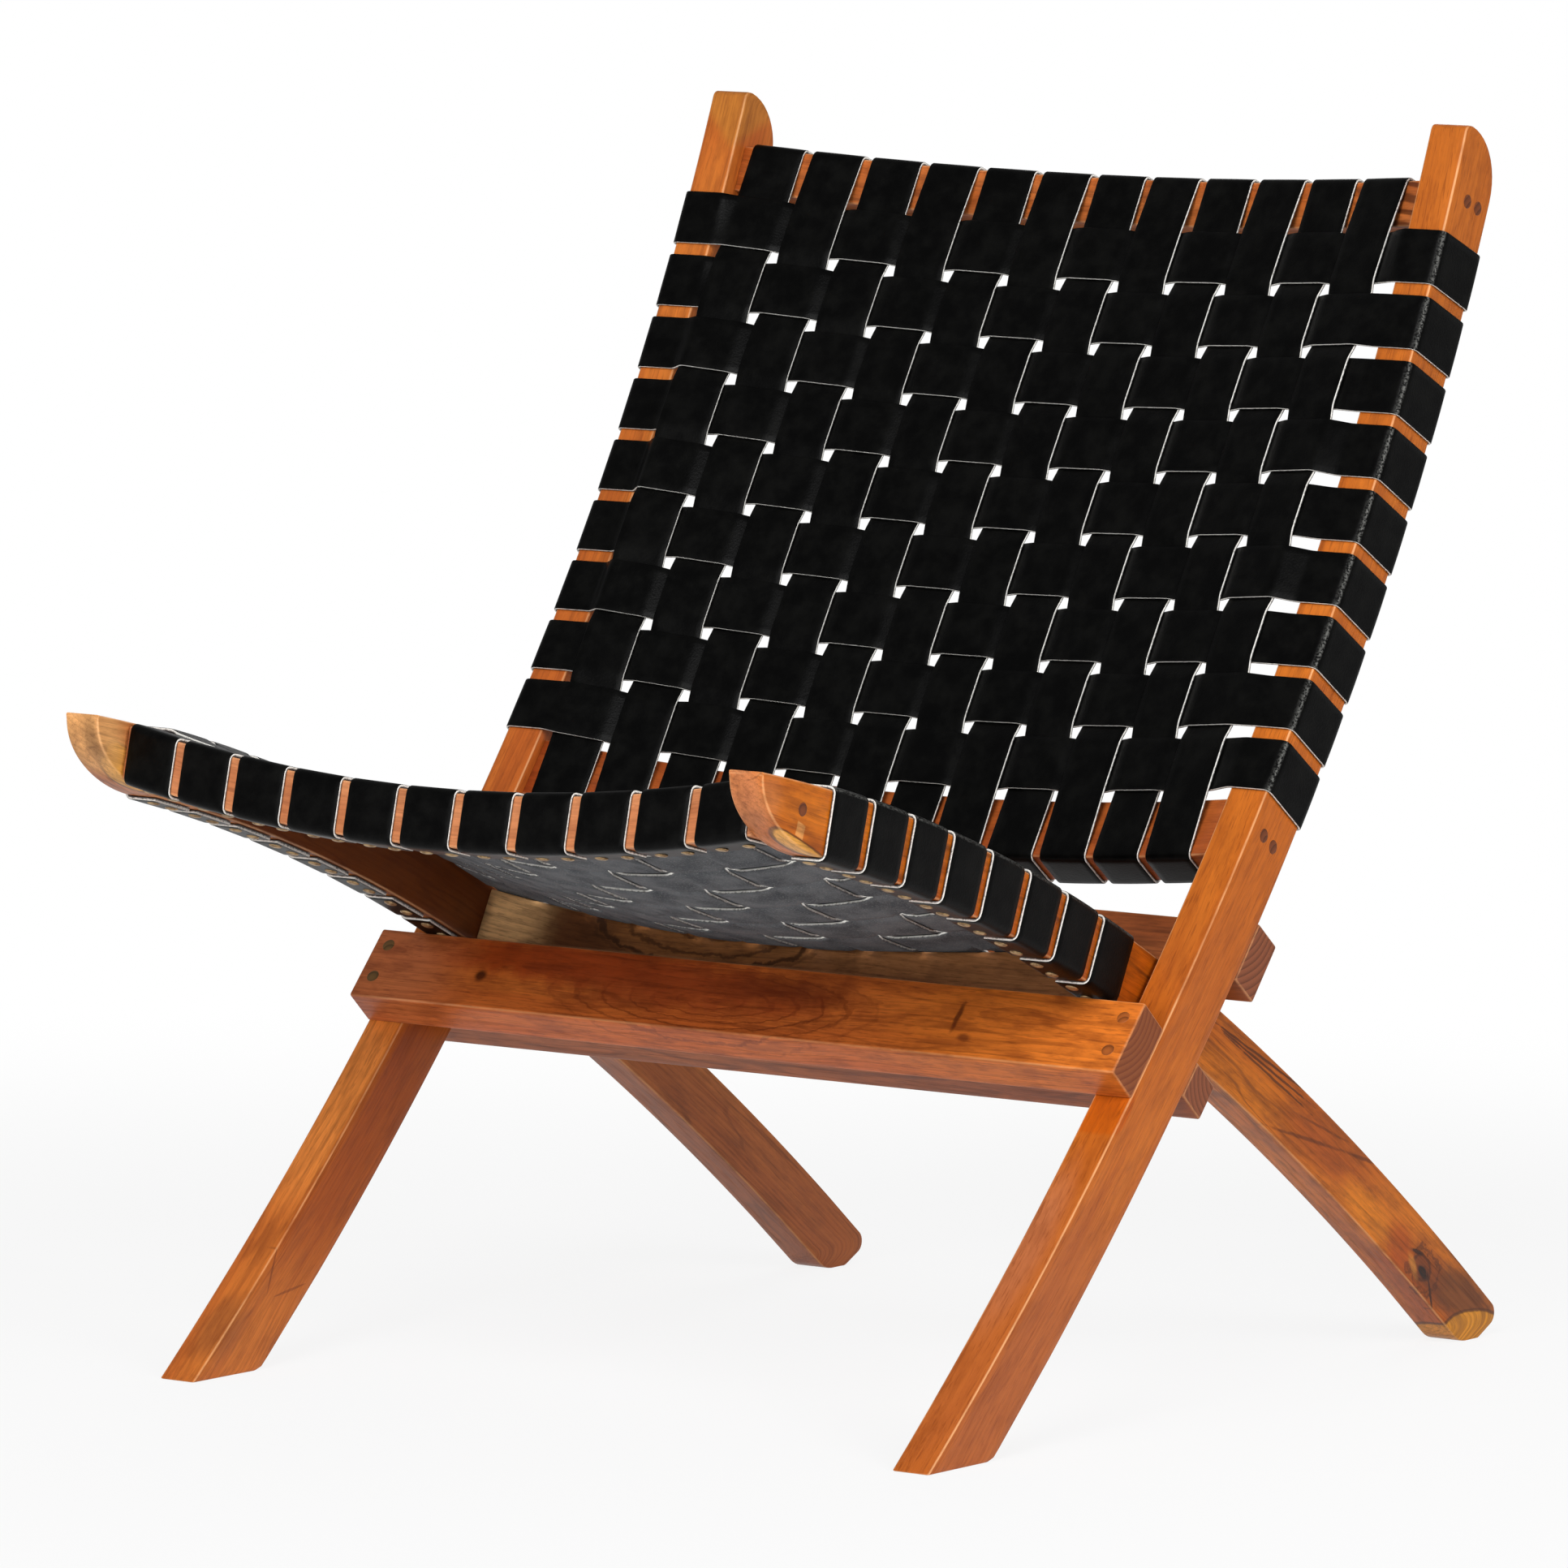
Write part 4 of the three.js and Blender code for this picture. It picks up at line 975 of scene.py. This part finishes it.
panels = {
    "back": {"surface": backSurface, "line": backLine, "body": "back_frame", "facing": 1,
             "inner": backInner, "outer": backRail["outer"], "depth": backRail["depth"],
             "columns": strapPlaces(8 - backInner, backInner - 18, 12),
             "rows": strapPlaces(558.4, 972.9, 9)[::-1],
             "down": "back_down_strap", "across": "back_across_strap"},
    "seat": {"surface": seatSurface, "line": seatLine, "body": "seat_frame", "facing": -1,
             "inner": seatInner, "outer": seatRail["outer"], "depth": seatRail["depth"],
             "columns": strapPlaces(3.5 - seatInner, seatInner - 3.5, 11),
             "rows": strapPlaces(576, 940, 8)[::-1],
             "down": "seat_long_strap", "across": "seat_across_strap"},
}


# A woven point: the panel's surface moved along its own normal by a rise, negative behind the panel
def wovenPoint(panel, x, along, lift):
    surface = panel["surface"]
    x, along = np.broadcast_arrays(np.asarray(x, float), np.asarray(along, float))
    acrossStep = surface(x + 1, along) - surface(x - 1, along)
    alongStep = surface(x, along + 1) - surface(x, along - 1)
    normal = np.cross(acrossStep, alongStep) * panel["facing"]
    normal /= np.linalg.norm(normal, axis=-1, keepdims=True)
    return surface(x, along) + normal * lift * mm


# Lengthwise strap in the weave: level over or under each row, easing through the gaps between rows
def columnWeave(panel, column):
    x = panel["columns"][column] + strapAcross
    stations = []
    for row, place in enumerate(panel["rows"]):
        lift = -strap["lift"] if (row + column) % 2 == 0 else strap["lift"]
        for shift in (strap["hold"], 0, -strap["hold"]):
            stations.append(wovenPoint(panel, x, place + shift, lift))
    return np.stack(stations)


# Strap across in the weave, from left to right
def rowWeave(panel, row):
    along = panel["rows"][row] + strapAcross
    stations = []
    for column, place in enumerate(panel["columns"]):
        lift = strap["lift"] if (row + column) % 2 == 0 else -strap["lift"]
        for shift in (-strap["hold"], 0, strap["hold"]):
            stations.append(wovenPoint(panel, place + shift, along, lift))
    return np.stack(stations)


# End of a strap across: over a rail's face, round its outer side and onto its far face
def rowEnd(panel, row, sign):
    along = panel["rows"][row] + strapAcross
    inner, outer, depth = panel["inner"], panel["outer"], panel["depth"]
    route = [(inner + strap["railStart"], -rise), (inner + strap["railRest"], -rise),
             (outer - turnIn, -rise), (outer + rise, turnIn), (outer + rise, depth - turnIn),
             (outer - turnIn, depth + rise), (inner + endMargin, depth + rise)]
    return np.stack([railPoint(panel["line"], along, sign * x, deep) for x, deep in route])


rowFold = (3, 4)  # the stations beside a rail's outer edge, counted from a strap's end


def makeRowStrap(panel, row):
    ends = [rowEnd(panel, row, sign) for sign in (-1, 1)]
    stations = np.concatenate([ends[0][::-1], rowWeave(panel, row), ends[1]])
    last = len(stations) - 1
    folds = (rowFold, [last - place for place in rowFold])
    outward = -railFrame(panel["line"], panel["rows"][row])[2]
    name = f"{panel['across']}_{row + 1}"
    strapPiece(f"leather_{name}", panel["body"], stations, outward, folds, name)


# Points on a cross rail: x across the chair, a run up the line and a depth below its bowed face
def onBar(panel, bar, x, run, depth):
    return barPoints(bar["line"], bar["middle"], x, depth + bowAt(x, panel["inner"], bar["bow"]), run)


# A strap's route round a cross rail, in pairs of run and depth
def barRoute(panel, bar, column, route):
    x = panel["columns"][column] + strapAcross
    return np.stack([onBar(panel, bar, x, run, depth) for run, depth in route])


# Over an edge of a cross rail of the back, the upper or the lower one, and along its rear face to an end
def backWrap(bar, end, rearEnd):
    edge, near, far = end * bar["height"] / 2, bar["near"], bar["near"] + bar["thick"]
    out = edge + end * rise
    return [(edge - end * turnIn, near - rise), (out, near + turnIn), (out, far - turnIn),
            (edge - end * turnIn, far + rise), (rearEnd, far + rise)]


halfCross = seatFront["height"] / 2
seatFace, frontFoot = seatFront["near"] - rise, seatFront["near"] + seatFront["thick"]
frontWrap = [(-halfCross, seatFace), (halfCross - turnIn, seatFace),
             (halfCross + rise, seatFront["near"] + turnIn), (halfCross + rise, frontFoot - turnIn),
             (halfCross - turnIn, frontFoot + rise), (endMargin - halfCross, frontFoot + rise)]
rearWrap = [(halfCross, seatFace), (turnIn - halfCross, seatFace),
            (-halfCross - rise, seatRear["near"] + turnIn),
            (-halfCross - rise, seatRear["near"] + strap["tail"])]
wraps = {
    "back": ((backTop, backWrap(backTop, 1, -backTop["height"] / 2 - strap["tail"])),
             (backBottom, backWrap(backBottom, -1, backBottom["height"] / 2 - endMargin))),
    "seat": ((seatFront, frontWrap), (seatRear, rearWrap)),
}


def makeColumnStrap(panel, label, column):
    (firstBar, firstRoute), (lastBar, lastRoute) = wraps[label]
    head = barRoute(panel, firstBar, column, firstRoute)[::-1]
    tail = barRoute(panel, lastBar, column, lastRoute)
    stations = np.concatenate([head, columnWeave(panel, column), tail])
    outward = -railFrame(panel["line"], panel["rows"][len(panel["rows"]) // 2])[2]
    name = f"{panel['down']}_{column + 1:02d}"
    strapPiece(f"leather_{name}", panel["body"], stations, outward, (), name)


for label, panel in panels.items():
    for column in range(len(panel["columns"])):
        makeColumnStrap(panel, label, column)
    for row in range(len(panel["rows"])):
        makeRowStrap(panel, row)
print("straps made")


headsApart = (50, 3, 2)  # in the plank, so that no two heads have the same grain


# Round heads: a profile of (radius, height) pairs in mm, turned about each head's outward axis
def roundHeads(name, centres, outward, profile, columns):
    centres, outward = np.asarray(centres, float), np.asarray(outward, float)
    helper = np.where(np.abs(outward[:, :1]) > 0.8, [[0.0, 1.0, 0.0]], [[1.0, 0.0, 0.0]])
    first = np.cross(outward, helper)
    first /= np.linalg.norm(first, axis=1, keepdims=True)
    second = np.cross(outward, first)
    turn = np.linspace(0, -2 * math.pi, columns, endpoint=False)
    spoke = first[:, None] * np.cos(turn)[:, None] + second[:, None] * np.sin(turn)[:, None]
    radius, height = (np.array(column) * mm for column in zip(*profile))
    grids = (centres[:, None, None] + spoke[:, None] * radius[:, None, None]
             + outward[:, None, None] * height[:, None, None])
    reach = radius[:, None]
    flat = np.broadcast_arrays(height[:, None], reach * np.cos(turn), reach * np.sin(turn))
    apart = np.arange(len(centres))[:, None] * np.array(headsApart) * mm
    plank = np.stack(flat, -1) + apart[:, None, None]
    scalar = np.zeros(grids.shape[:3])
    return closedTubes(name, grids, {"plank": plank, "wearHighlight": scalar, "endGrain": scalar + 1})


# Profile of a peg's end from its root up to a worn round edge, as (radius, height) pairs in mm
def pegProfile(peg):
    radius, proud = peg["radius"], peg["proud"]
    edge = [(radius - drawnIn, height) for drawnIn, height in peg["edge"]]
    return [(radius, -peg["length"]), *edge, (radius / 2, proud), (peg["tip"], proud)]


# Dowels through the back rails: their ends stand a little proud
dowelHead = {"radius": 4.8, "proud": 0.2, "length": 42, "edge": ((0, -0.3), (0.1, 0.05), (0.5, 0.15)),
             "tip": 0.3, "columns": 28}


def makeDowels():
    nodes = [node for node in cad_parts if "dowel" in node]
    centres, outward = [], []
    for node in nodes:
        low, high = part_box(node)
        side = -1 if "left" in node else 1
        centres.append((low.x if side < 0 else high.x, (low.y + high.y) / 2, (low.z + high.z) / 2))
        outward.append((side, 0, 0))
    piece = roundHeads("dowels", centres, outward, pegProfile(dowelHead), dowelHead["columns"])
    finishPiece(piece, "back_frame", wood["dowelEnd"], "dowel_wood", *nodes)


# Wooden plugs over the beams' screws and at the seat frame's front corners, nearly flush
plug = {"radius": 4.6, "proud": 0.15, "length": 5, "edge": ((0, -0.2), (0.15, 0.05), (0.6, 0.12)),
        "tip": 0.3, "columns": 24, "inFromEnd": 11.5, "spread": 13, "pairFrom": 30, "lift": 2,
        "noseDistance": 969.5, "noseDepth": 17}
plugProfile = pegProfile(plug)


# The plugs of one side: a pair on each high beam and one on a low beam, and one at the seat rail's nose
def makePlugs(side, sign, finish):
    centres, outward = [], []
    for beam in beams.values():
        inward = railFrame(backLine, beam["middle"])[2]
        front = beam["near"] < 0
        depth = beam["near"] if front else beam["near"] + beam["thick"]
        x = sign * (backRail["outer"] - plug["inFromEnd"])
        spread = plug["spread"] if beam["height"] > plug["pairFrom"] else 0
        for shift in sorted({-spread, spread}):
            centres.append(barPoints(backLine, beam["middle"], x, depth, shift + plug["lift"] * front))
            outward.append(-inward if front else inward)
    piece = roundHeads(f"beamPlugs_{side}", centres, outward, plugProfile, plug["columns"])
    finishPiece(piece, "back_frame", wood[finish], "dowel_wood")
    nose = railPoint(seatLine, plug["noseDistance"], sign * seatRail["outer"], plug["noseDepth"])
    piece = roundHeads(f"nosePlug_{side}", [nose], [(sign, 0, 0)], plugProfile, plug["columns"])
    finishPiece(piece, "seat_frame", wood["dowelEnd"], "dowel_wood")


makeDowels()
makePlugs("left", -1, "plugEnd")
makePlugs("right", 1, "plugPale")

# Tacks: two domed heads on each strap end, pressed into the leather
tack = {"radius": 4.6, "height": 1.3, "root": 0.6, "sweep": 1.4, "rings": 4, "apart": 10, "fromEnd": 8,
        "columns": 10}
tackTurns = np.linspace(0, tack["sweep"], tack["rings"])
tackProfile = [(tack["radius"], -tack["root"])]
tackProfile += [(tack["radius"] * math.cos(turn), tack["height"] * math.sin(turn)) for turn in tackTurns]
tackShifts = np.array([-tack["apart"], tack["apart"]])
strapTop = strap["gap"] + strap["thick"]  # from a timber face to the outer face of the strap on it


# Heads on the ends of the straps across, which lie on the far faces of the two rails
def rowTacks(panel):
    along = (panel["rows"][:, None] + tackShifts).ravel()
    x = panel["inner"] + endMargin + tack["fromEnd"]
    sides = [railPoint(panel["line"], along, sign * x, panel["depth"] + strapTop) for sign in (-1, 1)]
    return np.concatenate(sides), np.tile(railFrame(panel["line"], along)[2], (2, 1))


# Heads on one end of the lengthwise straps, at a run and depth on the cross rail, facing a direction
def barTacks(panel, bar, run, depth, outward):
    x = (panel["columns"][:, None] + tackShifts).ravel()
    return onBar(panel, bar, x, run, depth), np.tile(outward, (len(x), 1))


def makeTacks():
    backInward = railFrame(backLine, backTop["middle"])[2]
    lowInward = railFrame(backLine, backBottom["middle"])[2]
    frontInward = railFrame(seatLine, seatFront["middle"])[2]
    rearOut = -railFrame(seatLine, seatRear["middle"])[1]
    margin = endMargin + tack["fromEnd"]
    back, seat = panels["back"], panels["seat"]
    sets = {
        "back": [rowTacks(back),
                 barTacks(back, backTop, 0, backTop["near"] + backTop["thick"] + strapTop, backInward),
                 barTacks(back, backBottom, backBottom["height"] / 2 - margin,
                          backBottom["near"] + backBottom["thick"] + strapTop, lowInward)],
        "seat": [rowTacks(seat),
                 barTacks(seat, seatFront, margin - halfCross, frontFoot + strapTop, frontInward),
                 barTacks(seat, seatRear, -halfCross - strapTop, seatRear["near"] + tack["fromEnd"],
                          rearOut)],
    }
    for label, found in sets.items():
        centres, outward = (np.concatenate(column) for column in zip(*found))
        piece = roundHeads(f"{label}Tacks", centres, outward, tackProfile, tack["columns"])
        finishPiece(piece, panels[label]["body"], bronze, "tack_bronze")


makeTacks()
print("dowels, plugs and tacks made")

# Floor, light and camera

stage = {"floorHalf": 60.0, "floorColour": tone(226, 226, 226), "floorRough": 0.9, "glow": 0.86,
         "litNear": 0.7, "litFar": 1.5, "shadowNear": 0.8, "shadowFar": 2.0, "worldLevel": 0.25,
         "backdropTop": 0.1}
white = tone(255, 255, 255)


# One for rays from the camera, a share for mirrored rays and nothing for the rest
def seenShare(tree, mirrorShare):
    path = addNode(tree, "ShaderNodeLightPath").outputs
    mirrored = times(tree, path["Is Glossy Ray"], mirrorShare)
    seen = mathNode(tree, "MAXIMUM", path["Is Camera Ray"], path["Is Transmission Ray"])
    return mathNode(tree, "MAXIMUM", seen, mirrored)


# Pale floor, white to the camera and in reflections close to the chair, with a share left to take its shadow
def makeFloor():
    mesh = bpy.data.meshes.new("floor")
    half = stage["floorHalf"]
    corners = [(-half, -half, 0), (half, -half, 0), (half, half, 0), (-half, half, 0)]
    mesh.from_pydata(corners, [], [(0, 1, 2, 3)])
    floor = addObject("floor", mesh)
    material, tree, shader = startMaterial("paleFloor")
    fillInputs(tree, shader, {"Base Color": stage["floorColour"], "Roughness": stage["floorRough"],
                              "Specular IOR Level": 0.0})
    away = vectorValue(tree, "LENGTH", objectPlace(tree))
    seen = seenShare(tree, ramp(tree, away, stage["litFar"], stage["litNear"]))
    clear = ramp(tree, away, stage["shadowNear"], stage["shadowFar"])
    share = times(tree, seen, scaled(tree, clear, 1 - stage["glow"], stage["glow"]))
    glow = addNode(tree, "ShaderNodeEmission", {"Color": white, "Strength": 1.0})
    mixed = addNode(tree, "ShaderNodeMixShader", {0: share, 1: shader.outputs[0], 2: glow.outputs[0]})
    fillInputs(tree, tree.nodes["Material Output"], {"Surface": mixed.outputs[0]})
    mesh.materials.append(material)


# Even dim light from all round; the backdrop is white to the camera, and in reflections near the horizon
def makeWorld():
    world = bpy.data.worlds.new("studio")
    bpy.context.scene.world = world
    world.use_nodes = True
    tree = world.node_tree
    height = addNode(tree, "ShaderNodeSeparateXYZ", {0: objectPlace(tree)}).outputs["Z"]
    seen = seenShare(tree, ramp(tree, height, stage["backdropTop"], 0.0))
    level = mathNode(tree, "MAXIMUM", seen, stage["worldLevel"])
    fillInputs(tree, tree.nodes["Background"], {"Color": white, "Strength": level})


lampAim = (0, 0, 0.45)
lamps = {
    "key": {"place": (1.4, -3.8, 3.2), "size": 1.8, "power": 112},
    "right": {"place": (3.8, -1.0, 2.0), "size": 1.8, "power": 88},
    "front": {"place": (0.3, -4.6, 1.3), "size": 1.8, "power": 70},
    "rear": {"place": (-1.0, 3.6, 2.6), "size": 2.2, "power": 40},
}


def makeLamps():
    for name, lamp in lamps.items():
        data = bpy.data.lights.new(name, "AREA")
        data.size = lamp["size"]
        data.energy = lamp["power"]
        made = addObject(name, data)
        made.location = lamp["place"]
        made.rotation_euler = (Vector(lampAim) - made.location).to_track_quat("-Z", "Y").to_euler()


camera = {"place": (4.5538, -6.4687, 1.2492), "yaw": 35.235, "pitch": 6.164, "roll": 0.619,
          "lens": 274.66, "sensor": 36, "reach": 200}


# Camera axes: the back axis from yaw and pitch, then the level axes turned by the roll
def makeCamera():
    yaw, pitch, roll = (math.radians(camera[key]) for key in ("yaw", "pitch", "roll"))
    back = Vector((math.sin(yaw) * math.cos(pitch), -math.cos(yaw) * math.cos(pitch), math.sin(pitch)))
    level = Vector((0, 0, 1)).cross(back).normalized()
    upright = back.cross(level)
    right = level * math.cos(roll) + upright * math.sin(roll)
    top = upright * math.cos(roll) - level * math.sin(roll)
    data = bpy.data.cameras.new("camera")
    data.sensor_width = camera["sensor"]
    data.lens = camera["lens"]
    data.clip_end = camera["reach"]
    made = addObject("camera", data)
    turn = Matrix((right, top, back)).transposed().to_4x4()
    made.matrix_world = Matrix.Translation(camera["place"]) @ turn
    bpy.context.scene.camera = made


makeFloor()
makeWorld()
makeLamps()
makeCamera()
bpy.context.scene.view_settings.view_transform = "Standard"
print("stage set")
